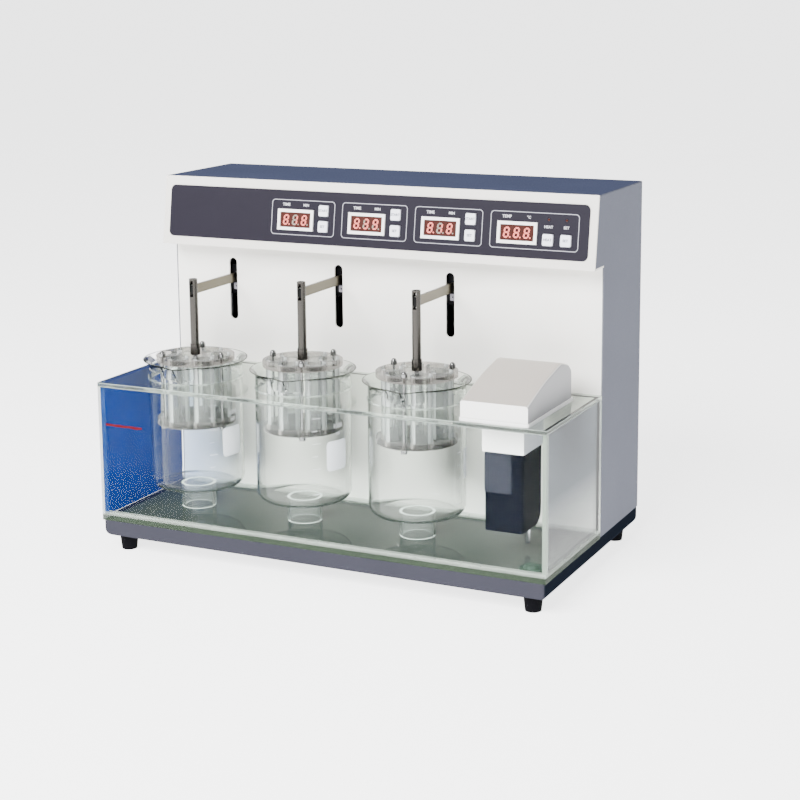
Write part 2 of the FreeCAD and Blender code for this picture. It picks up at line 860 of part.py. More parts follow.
def control_board():
    """Circuit board on four standoffs, with a tact switch behind each key."""
    left = group_x(0) - S.board_margin
    width = group_x(3) + S.second_key_offset + S.board_end_margin - left
    low = S.overlay_bottom
    pieces = [box("Board", left, S.board_setback, low, width, S.board_wall, S.board_height)]
    for label, (x, y) in key_centres().items():
        depth = S.board_setback - switch_face()
        pieces.append(box(f"Switch_{label}", x - S.switch_side / 2, switch_face(), y - S.switch_side / 2,
                          S.switch_side, depth, S.switch_side))
    for number, (across, up) in enumerate(((0, 0), (1, 0), (0, 1), (1, 1))):
        x = left + S.standoff_inset + (width - S.standoff_inset * 2) * across
        y = low + S.standoff_inset + (S.board_height - S.standoff_inset * 2) * up
        pieces.append(cylinder(f"Standoff{number}", x, S.panel_wall, y, S.standoff_radius,
                               S.board_setback - S.panel_wall, along="y"))
    return node(lean_back(group("ControlBoard", *pieces)), "control_board")


def key_back():
    """How far behind the fascia's face a key's flange ends."""
    return S.panel_wall + S.running_gap + S.key_flange_wall


def switch_face():
    return S.board_setback - S.switch_height


def push_key(label, x, y):
    """Square keycap with a hidden flange and a stem that reaches for its switch."""
    name = "".join(word.capitalize() for word in label.split("_"))
    body = new_body(name)
    left, low = x - S.key_width / 2, y - S.key_height / 2
    face = S.overlay_wall + S.key_proud
    cap_sketch = sketch(body, "XZ_Plane", [rectangle(left, low, S.key_width, S.key_height)],
                        offset=face)
    cap = pad(body, cap_sketch, face + key_back(), back=True)
    rounded = round_edges(body, cap, S.key_corner, lambda edge: runs_along(edge, (0, 1, 0)))
    front_face = -face.value
    bevel_edges(body, rounded, S.key_bevel, lambda edge: (
        abs(edge.BoundBox.YMin - front_face) < 1e-4 and abs(edge.BoundBox.YMax - front_face) < 1e-4))
    flange_sketch = sketch(body, "XZ_Plane", [rectangle(
        left - S.key_flange, low - S.key_flange,
        S.key_width + S.key_flange * 2, S.key_height + S.key_flange * 2)], offset=-key_back())
    pad(body, flange_sketch, S.key_flange_wall)
    stem_sketch = sketch(body, "XZ_Plane", [("circle", x, y, S.key_stem_radius)], offset=-key_back())
    stem_length = switch_face() - key_back() - S.key_travel - S.running_gap
    body.Tip = pad(body, stem_sketch, stem_length, back=True)
    return node(lean_back(body), label)


# Rear fittings

def power_entry():
    """Flanged module with the mains inlet below and the switch's cut-out above."""
    x, z = entry_x, base_top + S.entry_rise
    flange = box("EntryFlange", x - S.entry_width / 2, rear_face, z - S.entry_height / 2,
                 S.entry_width, S.entry_flange, S.entry_height)
    inset = S.entry_body_inset + S.seat_gap
    housing = box("EntryHousing", x - S.entry_width / 2 + inset, rear_face - S.entry_body_depth,
                  z - S.entry_height / 2 + inset, S.entry_width - inset * 2, S.entry_body_depth,
                  S.entry_height - inset * 2)
    face = rear_face + S.entry_flange
    socket = box("EntrySocket", x - S.inlet_width / 2, face - S.inlet_depth,
                 z - S.inlet_drop - S.inlet_height / 2,
                 S.inlet_width, S.inlet_depth + S.cut_overrun, S.inlet_height)
    gap = S.rocker_gap
    window = box("EntryWindow", x - S.rocker_width / 2 - gap, face - S.rocker_depth - gap * 2,
                 z + S.rocker_rise - S.rocker_height / 2 - gap,
                 S.rocker_width + gap * 2, S.rocker_depth + gap * 2 + S.cut_overrun,
                 S.rocker_height + gap * 2)
    deep = gap + S.pivot_reach + S.seat_gap
    pivots = cylinder("EntryPivots", x - S.rocker_width / 2 - deep, rocker_axis(), z + S.rocker_rise,
                      S.pivot_radius + S.pin_clearance, S.rocker_width + deep * 2, along="x")
    shell = cut("EntryShell", fuse("EntryWhole", flange, housing), socket, window, pivots)
    pieces = [shell]
    for number, (across, up) in enumerate(((-1, -1), (0, 1), (1, -1))):
        blade_z = z - S.inlet_drop + S.blade_stagger * up
        pieces.append(box(f"EntryBlade{number}",
                          x + S.blade_spacing * across - S.blade_width / 2,
                          face - S.inlet_depth, blade_z - S.blade_height / 2,
                          S.blade_width, S.blade_reach, S.blade_height))
    return node(group("PowerEntry", *pieces), "power_entry")


def mains_rocker():
    """Rocker of the mains switch, shown switched off; it turns on two pivots in the entry's walls."""
    item = box("RockerBlock", -S.rocker_width / 2, -S.rocker_depth / 2, -S.rocker_height / 2,
               S.rocker_width, S.rocker_depth / 2 + S.rocker_proud, S.rocker_height)
    dish = cylinder("RockerDish", -S.rocker_width / 2 - S.cut_overrun,
                    S.rocker_proud + S.rocker_dish_radius - S.rocker_dish_depth, ZERO,
                    S.rocker_dish_radius, S.rocker_width + S.cut_overrun * 2, along="x")
    reach = S.rocker_gap + S.pivot_reach
    pivots = cylinder("RockerPivots", -S.rocker_width / 2 - reach, ZERO, ZERO, S.pivot_radius,
                      S.rocker_width + reach * 2, along="x")
    whole = fuse("MainsRocker", cut("RockerCap", item, dish), pivots)
    z = base_top + S.entry_rise + S.rocker_rise
    place(whole, entry_x, rocker_axis(), z, (1, 0, 0), S.rocker_tilt)
    return node(whole, "mains_rocker")


def rocker_axis():
    return rear_face + S.entry_flange - S.rocker_depth / 2


def accessory_sockets():
    """Round sockets for the heater, the pump and the sensor of the bath."""
    sockets = []
    for number in range(int(COUNTS["socket_count"])):
        x, z = socket_x(number), base_top + S.entry_rise
        name = f"Socket{number}"
        flange = cylinder(name + "_flange", x, rear_face, z, S.socket_radius, S.socket_flange, along="y")
        inner = cylinder(name + "_body", x, rear_face - S.socket_body_depth, z, S.socket_body_radius,
                         S.socket_body_depth, along="y")
        mouth = cylinder(name + "_mouth", x, rear_face + S.socket_flange - S.socket_hole_depth, z,
                         S.socket_hole_radius, S.socket_hole_depth + S.cut_overrun, along="y")
        sockets.append(cut(name, fuse(name + "_whole", flange, inner), mouth))
    return node(group("AccessorySockets", *sockets), "accessory_sockets")


def power_supply():
    """Enclosed supply on two feet, standing on the base behind the drive frame."""
    x = S.supply_side_offset - S.supply_width / 2
    y = rear_face - S.sheet_wall - S.supply_rear_gap - S.supply_depth
    case = box("SupplyCase", x, y, base_top, S.supply_width, S.supply_depth, S.supply_height)
    feet = box("SupplyFeet", x - S.supply_flange, y, base_top,
               S.supply_width + S.supply_flange * 2, S.supply_depth, S.sheet_wall)
    return node(fuse("PowerSupply", case, feet), "power_supply")


# Lifting drive

def drive_frame():
    """Folded frame: an upright web with two shelves for the guide rods and a foot."""
    left = S.frame_side_gap - half_width
    wide = body_width - S.frame_side_gap * 2
    depth = web_front - guide_line + S.guide_radius * 2
    web = box("FrameWeb", left, web_front, base_top, wide, S.frame_wall,
              upper_shelf + S.frame_wall - base_top)
    foot = box("FrameFoot", left, web_front, base_top, wide,
               S.frame_wall + S.frame_flange, S.frame_wall)
    shelves = [box(f"FrameShelf{number}", left, web_front - depth, height, wide,
                   depth, S.frame_wall)
               for number, height in enumerate((lower_shelf, upper_shelf))]
    tools = []
    for number in range(stations):
        x = station_x(number)
        tools.append(cylinder(f"ShaftHole{number}", x + pinion_offset, web_front - S.cut_overrun,
                              pinion_height, S.frame_hole_radius,
                              S.frame_wall + S.cut_overrun * 2, along="y"))
        for side in (-1, 1):
            low = lower_shelf - S.cut_overrun
            tall = upper_shelf + S.frame_wall + S.cut_overrun - low
            tools.append(cylinder(f"RodHole{number}_{side + 1}", x + S.guide_spacing / 2 * side,
                                  guide_line, low, S.guide_radius + S.seat_gap, tall))
    whole = fuse("FrameWhole", web, foot, *shelves)
    return node(cut("DriveFrame", whole, *tools), "drive_frame")


def guide_rods():
    rods = []
    for number in range(stations):
        for side in (-1, 1):
            rods.append(cylinder(f"GuideRod{number}_{side + 1}",
                                 station_x(number) + S.guide_spacing / 2 * side, guide_line,
                                 lower_shelf, S.guide_radius,
                                 upper_shelf + S.frame_wall - lower_shelf))
    return node(group("GuideRods", *rods), "guide_rods")


def gear_motors():
    """A reversing gear motor behind the web for each station."""
    motors = []
    for number in range(stations):
        x = station_x(number) + pinion_offset
        y = web_front + S.frame_wall
        name = f"GearMotor{number}"
        gearbox = cylinder(name + "_gearbox", x, y, pinion_height, S.gearbox_radius,
                           S.gearbox_length, along="y")
        can = cylinder(name + "_can", x, y + S.gearbox_length, pinion_height, S.motor_radius,
                       S.motor_length, along="y")
        bore = cylinder(name + "_bore", x, y - S.cut_overrun, pinion_height,
                        S.pinion_shaft_radius + S.seat_gap,
                        S.motor_socket_depth + S.cut_overrun, along="y")
        motors.append(cut(name, fuse(name + "_whole", gearbox, can), bore))
    return node(group("GearMotors", *motors), "gear_motors")


def involute_point(base_radius, radius, turn):
    """The point of an involute at a radius, mirrored to one side and turned about the centre."""
    sign = 1 if turn >= 0 else -1
    tangent = math.sqrt(max((radius / base_radius) ** 2 - 1, 0.0))
    swept = tangent - math.atan(tangent)
    angle = abs(turn) - swept
    return radius, sign * angle


def polar(radius, angle, turn):
    """A point of the XZ plane, with angle zero towards -X and growing towards +Z."""
    total = angle + turn
    return Vector(-radius * math.cos(total), 0, radius * math.sin(total))


def pinion_outline(turn):
    """Closed wire of the pinion's teeth: each flank is an arc through three points of its involute."""
    module, teeth = S.tooth_module.value, int(COUNTS["pinion_teeth"])
    pressure = math.radians(ANGLES["pressure_angle"])
    pitch_r = pitch_radius.value
    base_r = pitch_r * math.cos(pressure)
    tip_r, root_r = pitch_r + module, pitch_r - module * DEDENDUM_SHARE
    half_tooth = math.pi / teeth / 2 - S.mesh_backlash.value / 2 / pitch_r
    half_at_base = half_tooth + math.tan(pressure) - pressure
    radii = (base_r, (base_r + tip_r) / 2, tip_r)
    edges = []
    for number in range(teeth):
        middle = turn + 2 * math.pi * number / teeth
        low = [polar(*involute_point(base_r, radius, -half_at_base), middle) for radius in radii]
        high = [polar(*involute_point(base_r, radius, half_at_base), middle) for radius in radii]
        root_low = polar(root_r, -half_at_base, middle)
        root_high = polar(root_r, half_at_base, middle)
        next_root = polar(root_r, -half_at_base, middle + 2 * math.pi / teeth)
        edges.append(Part.LineSegment(root_low, low[0]).toShape())
        edges.append(Part.Arc(*low).toShape())
        edges.append(Part.Arc(low[2], polar(tip_r, 0, middle), high[2]).toShape())
        edges.append(Part.Arc(*reversed(high)).toShape())
        edges.append(Part.LineSegment(high[0], root_high).toShape())
        edges.append(Part.Arc(root_high, polar(root_r, math.pi / teeth, middle), next_root).toShape())
    return Part.Wire(edges)


def rack_gap_height(number):
    """Height of a gap between two teeth of a station's rack, in the rest pose."""
    top = rest_height(number).value + S.block_above_arm.value
    return top - tooth_pitch.value * int(COUNTS["rack_teeth"] / 2)


def lift_pinion(number):
    """Pinion and its shaft; the teeth stand as the rack's own height needs."""
    turn = (rack_gap_height(number) - pinion_height.value) / pitch_radius.value
    teeth = Part.Face(pinion_outline(turn)).extrude(Vector(0, S.pinion_width.value, 0))
    length = web_front + S.frame_wall + S.motor_socket_depth - S.seat_gap - pinion_start()
    shaft = Part.makeCylinder(S.pinion_shaft_radius.value, length.value, Vector(), Vector(0, 1, 0))
    item = doc.addObject("Part::Feature", f"LiftPinion{number}")
    item.Shape = teeth.fuse(shaft).removeSplitter()
    place(item, station_x(number) + pinion_offset, pinion_start(), pinion_height)
    return node(item, f"lift_pinion_{number + 1}")


def pinion_start():
    """The pinion runs along the middle of the rack's width."""
    return guide_line - S.pinion_width / 2


def rack_teeth_outline(top):
    """Toothed edge of the rack in the XZ plane, from the block's side out to the tips."""
    module, pitch = S.tooth_module.value, tooth_pitch.value
    slope = math.tan(math.radians(ANGLES["pressure_angle"]))
    side = S.block_width.value / 2
    root = rack_pitch_line.value - module * DEDENDUM_SHARE
    tip = rack_pitch_line.value + module
    half = pitch / 4
    points = [Vector(side, 0, top)]
    for number in range(int(COUNTS["rack_teeth"])):
        middle = top - pitch * (number + 0.5)
        points.append(Vector(root, 0, middle + half + module * DEDENDUM_SHARE * slope))
        points.append(Vector(tip, 0, middle + half - module * slope))
        points.append(Vector(tip, 0, middle - half + module * slope))
        points.append(Vector(root, 0, middle - half - module * DEDENDUM_SHARE * slope))
    bottom = top - rack_length.value
    points[1] = Vector(root, 0, min(points[1].z, top))
    points[-1] = Vector(root, 0, max(points[-1].z, bottom))
    if points[1].z < top - 1e-6:
        points.insert(1, Vector(root, 0, top))
    if points[-1].z > bottom + 1e-6:
        points.append(Vector(root, 0, bottom))
    points.append(Vector(side, 0, bottom))
    return Part.makePolygon(points + points[:1])


def slide_block(number):
    """Nylon guide block with its rack, its two bores and the nose that shows under the arm."""
    x, height = station_x(number), rest_height(number)
    name = f"SlideBlock{number}"
    low = height - S.block_below_arm
    tall = S.block_below_arm + S.block_above_arm
    main = box(name + "_main", x - S.block_width / 2, block_front, low,
               S.block_width, S.block_depth, tall)
    nose = box(name + "_nose", x - S.nose_width / 2, block_front - S.nose_reach,
               height - S.arm_height / 2 - S.nose_height, S.nose_width, S.nose_reach, S.nose_height)
    rack = doc.addObject("Part::Feature", name + "_rack")
    outline = rack_teeth_outline(S.block_above_arm.value)
    rack.Shape = Part.Face(outline).extrude(Vector(0, S.rack_width.value, 0))
    place(rack, x, guide_line - S.rack_width / 2, height)
    tools = [box(name + "_pocket", x - S.arm_thickness / 2, block_front - S.cut_overrun,
                 height - S.arm_height / 2, S.arm_thickness, S.arm_root_depth + S.cut_overrun,
                 S.arm_height)]
    for side in (-1, 1):
        tools.append(cylinder(f"{name}_bore{side + 1}", x + S.guide_spacing / 2 * side, guide_line,
                              low - S.cut_overrun, S.guide_radius + S.seat_gap,
                              tall + S.cut_overrun * 2))
    whole = fuse(name + "_whole", main, nose, rack)
    return node(cut(name, whole, *tools), f"slide_block_{number + 1}")


def lift_arm(number):
    """Flat bar on edge, from the block through the slot to the hanger, with a notch for its pin."""
    x, height = station_x(number), rest_height(number)
    start = station_line - S.arm_end_reach
    name = f"LiftArm{number}"
    bar = box(name + "_bar", x - S.arm_thickness / 2, start, height - S.arm_height / 2,
              S.arm_thickness, block_front + S.arm_root_depth - start, S.arm_height)
    top = height + S.arm_height / 2
    notch = cylinder(name + "_notch", x - S.arm_thickness / 2 - S.cut_overrun, station_line,
                     top + S.rod_pin_radius + S.pin_clearance - S.arm_notch_depth,
                     S.rod_pin_radius + S.pin_clearance,
                     S.arm_thickness + S.cut_overrun * 2, along="x")
    return node(cut(name, bar, notch), f"lift_arm_{number + 1}")


# Basket and its hanger

def basket_floor(number):
    """Height of the screen's top face, where the tubes end; at its lowest it keeps off the beaker."""
    rise = S.stroke * (1 - REST_BELOW_TOP_SHARES[number])
    return beaker_foot + S.beaker_wall + S.lowest_basket_gap + rise


def basket_top(number):
    """Height of the upper plate's top face."""
    return basket_floor(number) + S.tube_length - S.tube_stand_proud


def around(number, count, radius, turn):
    """Points on a circle about a station's rod."""
    points = []
    for step in range(count):
        angle = math.radians(BASKET_TURNS[number] + turn + 360.0 * step / count)
        points.append((station_x(number) + radius * math.cos(angle),
                       station_line + radius * math.sin(angle)))
    return points


def tube_places(number):
    return around(number, int(COUNTS["tubes_per_basket"]), tube_circle_radius,
                  ANGLES["tube_turn"])


def stud_places(number):
    return around(number, int(COUNTS["studs_per_basket"]), plate_radius - S.stud_inset, 0.0)


def hanger_rod(number):
    """Slotted tube with a cross pin, a turned collar and a spigot through the upper plate."""
    x, y, height = station_x(number), station_line, rest_height(number)
    name = f"HangerRod{number}"
    foot = basket_top(number)
    top = height + S.rod_above_arm
    tube = cylinder(name + "_tube", x, y, foot, S.rod_radius, top - foot)
    collar = cylinder(name + "_collar", x, y, foot, S.collar_radius, S.collar_height)
    spigot = cylinder(name + "_spigot", x, y, foot - S.plate_wall - S.nut_height, S.spigot_radius,
                      S.plate_wall + S.nut_height + S.collar_height)
    bore = cylinder(name + "_bore", x, y, foot + S.collar_height, S.rod_radius - S.rod_wall,
                    top - foot)
    slot = box(name + "_slot", x - S.rod_slot_width / 2, y - S.rod_radius - S.cut_overrun,
               top - S.rod_slot_below_top - S.rod_slot_height, S.rod_slot_width,
               (S.rod_radius + S.cut_overrun) * 2, S.rod_slot_height)
    shell = cut(name + "_shell", fuse(name + "_whole", tube, collar, spigot), bore, slot)
    pin = cylinder(name + "_pin", x - S.rod_radius + S.seat_gap, y,
                   height + S.arm_height / 2 + S.rod_pin_radius - S.arm_notch_depth,
                   S.rod_pin_radius, (S.rod_radius - S.seat_gap) * 2, along="x")
    nut = cylinder(name + "_nut", x, y, foot - S.plate_wall - S.nut_height,
                   S.hub_nut_radius, S.nut_height)
    return node(fuse(name, shell, pin, nut), f"hanger_rod_{number + 1}")


def basket_plates(number):
    """Two clear discs, each with six tube holes, three stud holes and one for the spigot."""
    plates = []
    levels = {"upper": basket_top(number) - S.plate_wall, "lower": basket_floor(number)}
    for which, level in levels.items():
        name = f"BasketPlate{number}_{which}"
        body = new_body(name)
        loops = [("circle", station_x(number), station_line, plate_radius)]
        loops += [("circle", *point, S.tube_radius + S.seat_gap) for point in tube_places(number)]
        loops += [("circle", *point, S.stud_radius + S.seat_gap) for point in stud_places(number)]
        if which == "upper":
            loops.append(("circle", station_x(number), station_line, S.spigot_radius + S.seat_gap))
        pad(body, sketch(body, "XY_Plane", loops, offset=level), S.plate_wall)
        plates.append(body)
    return node(group(f"BasketPlates{number}", *plates), f"basket_plates_{number + 1}")


def basket_tubes(number):
    """Six open glass tubes that stand on the screen."""
    tubes = []
    for step, (x, y) in enumerate(tube_places(number)):
        name = f"BasketTube{number}_{step}"
        outer = cylinder(name + "_outer", x, y, basket_floor(number), S.tube_radius, S.tube_length)
        inner = cylinder(name + "_inner", x, y, basket_floor(number) - S.cut_overrun,
                         S.tube_radius - S.tube_wall, S.tube_length + S.cut_overrun * 2)
        tubes.append(cut(name, outer, inner))
    return node(group(f"BasketTubes{number}", *tubes), f"basket_tubes_{number + 1}")


def basket_fittings(number):
    """Steel screen under the lower plate, held by three studs with a domed nut at each end."""
    level, top = basket_floor(number), basket_top(number)
    name = f"BasketFittings{number}"
    body = new_body(name + "_screen")
    loops = [("circle", station_x(number), station_line, plate_radius - S.screen_inset)]
    loops += [("circle", *point, S.stud_radius + S.seat_gap) for point in stud_places(number)]
    pad(body, sketch(body, "XY_Plane", loops, offset=level - S.screen_wall), S.screen_wall)
    pieces = [body]
    for step, (x, y) in enumerate(stud_places(number)):
        low = level - S.screen_wall
        stud = cylinder(f"{name}_stud{step}", x, y, low - S.nut_height / 2, S.stud_radius,
                        top - low + S.nut_height)
        upper = cylinder(f"{name}_upper{step}", x, y, top, S.nut_radius, S.nut_height)
        dome = doc.addObject("Part::Sphere", f"{name}_dome{step}")
        bind(dome, "Radius", S.nut_dome_radius)
        place(dome, x, y, top + S.nut_height)
        lower = cylinder(f"{name}_lower{step}", x, y, low - S.nut_height, S.nut_radius, S.nut_height)
        pieces.append(fuse(f"{name}_bolt{step}", stud, upper, dome, lower))
    return node(group(name, *pieces), f"basket_fittings_{number + 1}")


# Beakers and tank

def beaker(number):
    """Low-form beaker, which stands on its ring and comes up through the cover's hole."""
    item = doc.addObject("Part::Feature", f"Beaker{number}")
    item.Shape = beaker_shape()
    place(item, station_x(number), station_line, beaker_foot)
    return node(item, f"beaker_{number + 1}")


def turned(points_and_arcs):
    """Revolves a closed outline of lines and three-point arcs about Z."""
    edges = []
    for piece in points_and_arcs:
        points = [Vector(x, 0, z) for x, z in piece]
        edge = Part.Arc(*points) if len(points) == 3 else Part.LineSegment(*points)
        edges.append(edge.toShape())
    return Part.Face(Part.Wire(edges)).revolve(Vector(), Vector(0, 0, 1), 360)


def quarter(x, z, radius, start):
    """Three points of a quarter circle about (x, z), from an angle in degrees to 90 more."""
    angles = [math.radians(start + step) for step in (0, 45, 90)]
    return [(x + radius * math.cos(angle), z + radius * math.sin(angle)) for angle in angles]


def beaker_shape():
    """A turned wall with a rounded foot and a flared rim, and a spout drawn out to the front."""
    outer, wall = beaker_radius.value, S.beaker_wall.value
    inner, corner = outer - wall, S.beaker_corner.value
    top, neck = S.beaker_height.value, S.beaker_height.value - S.beaker_flare_height.value
    flare, width = S.beaker_flare_height.value, S.beaker_rim_overhang.value
    swell, rise = FLARE_SHARES
    heel = quarter(outer - corner, corner, corner, -90)
    hollow = quarter(outer - corner, corner, corner - wall, -90)[::-1]
    lip = (rim_radius.value, top)
    edge = (rim_radius.value - S.lip_flat.value, top)
    out_curve = [(outer, neck), (outer + width * swell, neck + flare * rise), lip]
    in_curve = [edge, (inner + width * swell, neck + flare * rise), (inner, neck)]
    cup = turned([[(0, 0), heel[0]], heel, [heel[2], (outer, neck)], out_curve, [lip, edge],
                  in_curve, [(inner, neck), hollow[0]], hollow, [hollow[2], (0, wall)],
                  [(0, wall), (0, 0)]])
    bowl = turned([[(0, wall), hollow[2]], hollow[::-1], [hollow[0], (inner, neck)],
                   in_curve[::-1], [edge, (0, top)], [(0, top), (0, wall)]])
    tongue = spout_form(0.0, top).cut(bowl)
    return cup.fuse(tongue).cut(spout_form(wall, top + wall)).removeSplitter()


def spout_form(inset, top):
    """Solid of the spout, which starts above the tank's cover; the inset makes the hollow in it."""
    height = S.beaker_above_cover.value - S.spout_clearance.value - inset
    bottom = S.beaker_height.value - height
    lean_out = (top - bottom) / height
    wall_middle = beaker_radius.value - S.beaker_wall.value / 2
    reach = rim_radius.value + S.spout_reach.value
    low = spout_section(wall_middle - inset, wall_middle - inset, inset, bottom)
    flank = wall_middle + (rim_radius.value - wall_middle) * lean_out - inset
    tip = wall_middle + (reach - wall_middle) * lean_out - inset
    return Part.makeLoft([low, spout_section(flank, tip, inset, top)], True, True)


def spout_section(flank, tip, inset, level):
    """Closed outline of the spout at one level: its root, its two flanks and its blunt tip."""
    spread = math.radians(ANGLES["spout_half_angle"])
    half_tip = S.spout_tip_width.value / 2 - inset / 2
    root = beaker_radius.value - S.spout_root_depth.value
    corners = [(-root, root * math.tan(spread)), (-root, -root * math.tan(spread)),
               (-flank * math.cos(spread), -flank * math.sin(spread)),
               (-tip, -half_tip), (-tip, half_tip),
               (-flank * math.cos(spread), flank * math.sin(spread))]
    turn = math.radians(90.0 + ANGLES["spout_turn"])
    points = [Vector(x * math.cos(turn) - y * math.sin(turn), x * math.sin(turn) + y * math.cos(turn),
                     level) for x, y in corners]
    return Part.makePolygon(points + points[:1])


def beaker_stands():
    """Clear rings on the tank's floor that carry the beakers."""
    rings = []
    for number in range(stations):
        name = f"BeakerStand{number}"
        outer = cylinder(name + "_outer", station_x(number), station_line, tank_floor_top,
                         S.beaker_stand_radius, S.beaker_stand_height)
        inner = cylinder(name + "_inner", station_x(number), station_line,
                         tank_floor_top - S.cut_overrun, S.beaker_stand_radius - S.beaker_stand_wall,
                         S.beaker_stand_height + S.cut_overrun * 2)
        rings.append(cut(name, outer, inner))
    return node(group("BeakerStands", *rings), "beaker_stands")


def tank_panes():
    """Floor pane with the front, back and right panes butt-jointed on it."""
    low, wide = tank_floor_top, tank_half_width * 2
    tall, between = tank_rim - tank_floor_top, tank_depth - S.tank_wall * 2
    floor = box("TankFloor", -tank_half_width, front, base_top, wide, tank_depth, S.tank_floor_wall)
    front_pane = box("TankFrontPane", -tank_half_width, front, low, wide, S.tank_wall, tall)
    back_pane = box("TankBackPane", -tank_half_width, tank_back - S.tank_wall, low, wide,
                    S.tank_wall, tall)
    right_pane = box("TankRightPane", tank_half_width - S.tank_wall, front + S.tank_wall, low,
                     S.tank_wall, between, tall)
    return node(group("TankPanes", floor, front_pane, back_pane, right_pane), "tank_panes")


def tank_left_wall():
    return node(box("TankLeftPane", -tank_half_width, front + S.tank_wall, tank_floor_top,
                    S.tank_wall, tank_depth - S.tank_wall * 2, tank_rim - tank_floor_top),
                "tank_left_wall")


def unit_x():
    """Middle of the neck, whose opening in the cover keeps its margin to the tank's right side."""
    return tank_half_width - S.neck_side_margin - neck_opening / 2


def unit_y():
    return front + S.unit_front_inset


def hood_x():
    return unit_x() + S.hood_side_shift


def tank_cover():
    """Clear plate on the tank with a hole for each beaker and one for the pump's neck."""
    body = new_body("TankCover")
    loops = [rectangle(-tank_half_width, front, tank_width, tank_depth)]
    for number in range(stations):
        loops.append(("circle", station_x(number), station_line, hole_radius))
    loops.append(rectangle(unit_x() - neck_opening / 2,
                           unit_y() - S.neck_length / 2 - S.running_gap,
                           neck_opening, S.neck_length + S.running_gap * 2))
    pad(body, sketch(body, "XY_Plane", loops, offset=tank_rim), S.cover_wall)
    return node(body, "tank_cover")


def drain_plug():
    x = half_width - S.drain_side_inset
    y = front + S.drain_front_inset
    disc = cylinder("DrainDisc", x, y, tank_floor_top, S.drain_radius, S.drain_flange_height)
    dome = cone("DrainDome", x, y, tank_floor_top, S.drain_dome_foot_radius,
                S.drain_dome_top_radius, S.drain_height)
    return node(fuse("DrainPlug", disc, dome), "drain_plug")


# Heater and pump unit

def unit_lip():
    """White rim plate that lies on the tank's cover and carries the pump and the hood."""
    body = new_body("UnitLip")
    loops = [rectangle(hood_x() - S.lip_width / 2, front + S.tank_wall / 2, S.lip_width, S.lip_length),
             rectangle(unit_x() - S.neck_width / 2 - S.seat_gap,
                       unit_y() - S.neck_length / 2 - S.seat_gap,
                       S.neck_width + S.seat_gap * 2, S.neck_length + S.seat_gap * 2)]
    plate = pad(body, sketch(body, "XY_Plane", loops, offset=cover_top), S.lip_wall)
    wide = S.lip_width.value
    body.Tip = round_edges(body, plate, S.lip_corner_radius, lambda edge: (
        runs_along(edge, (0, 0, 1)) and abs(abs(edge.CenterOfMass.x - hood_x().value) - wide / 2) < 1e-3))
    return node(body, "unit_lip")


def pump_neck():
    """White sleeve with a flanged head that hangs the filter box from the lip."""
    x, y = unit_x(), unit_y()
    low = cover_top - S.neck_drop
    top = cover_top + S.lip_wall
    sleeve = box("NeckSleeve", x - S.neck_width / 2, y - S.neck_length / 2, low,
                 S.neck_width, S.neck_length, top - low)
    head = box("NeckHead", x - S.neck_width / 2 - S.neck_wall, y - S.neck_length / 2 - S.neck_wall,
               top, S.neck_width + S.neck_wall * 2, S.neck_length + S.neck_wall * 2, S.neck_rise)
    inner = box("NeckInner", x - S.neck_width / 2 + S.neck_wall, y - S.neck_length / 2 + S.neck_wall,
                low - S.cut_overrun, S.neck_width - S.neck_wall * 2, S.neck_length - S.neck_wall * 2,
                top - low + S.cut_overrun)
    holes = [cylinder(f"NeckHole{number}", *point, top - S.cut_overrun, radius + S.seat_gap,
                      S.neck_rise + S.cut_overrun * 2)
             for number, (point, radius) in enumerate(neck_holes())]
    return node(cut("PumpNeck", fuse("NeckWhole", sleeve, head), inner, *holes), "pump_neck")


def heater_legs():
    y = unit_y() - S.heater_set_forward
    return [(unit_x() + S.heater_leg_spacing / 2 * side, y) for side in (-1, 1)]


def probe_place():
    return unit_x() + S.probe_side_offset, unit_y() + S.probe_front_offset


def neck_holes():
    legs = [(point, S.heater_radius) for point in heater_legs()]
    return legs + [(probe_place(), S.probe_radius)]


def box_bottom():
    return tank_floor_top + S.box_floor_gap


def filter_box():
    """Dark smoked box round the heater, with intake slots low on its front and a rounded heel."""
    body = new_body("FilterBox")
    low, top = box_bottom(), cover_top - S.neck_drop
    y0, y1 = unit_y() - S.box_length / 2, unit_y() + S.box_length / 2
    outline = sketch(body, "YZ_Plane", [[(y0, low), (y1, low), (y1, top), (y0, top)]],
                     offset=unit_x())
    whole = pad(body, outline, S.box_width, symmetric=True)
    heel = round_edges(body, whole, S.box_heel_radius, lambda edge: (
        runs_along(edge, (1, 0, 0)) and edge.CenterOfMass.y > y1.value - 1e-3
        and edge.CenterOfMass.z < top.value - 1e-3))
    round_edges(body, heel, S.box_corner, lambda edge: (
        runs_along(edge, (0, 0, 1)) and edge.CenterOfMass.y < y0.value + 1e-3))
    wall = S.box_wall
    inside = sketch(body, "YZ_Plane", [[
        (y0 + wall, low + wall),
        (y1 - S.box_heel_radius, low + wall),
        (y1 - wall, low + S.box_heel_radius),
        (y1 - wall, top + S.cut_overrun), (y0 + wall, top + S.cut_overrun)]], offset=unit_x())
    pocket(body, inside, S.box_width - wall * 2, symmetric=True)
    slots = []
    for number in range(int(COUNTS["intake_count"])):
        slots.append(rectangle(unit_x() - S.intake_length / 2,
                               low + S.box_corner * 2 + S.intake_pitch * number,
                               S.intake_length, S.intake_width))
    pocket(body, sketch(body, "XZ_Plane", slots, offset=-unit_y()), S.box_length)
    hole = sketch(body, "XY_Plane", [("circle", *probe_place(), S.probe_radius + S.seat_gap)],
                  offset=low - S.cut_overrun)
    body.Tip = pocket(body, hole, S.box_heel_radius + S.cut_overrun, back=True)
    return node(body, "filter_box")


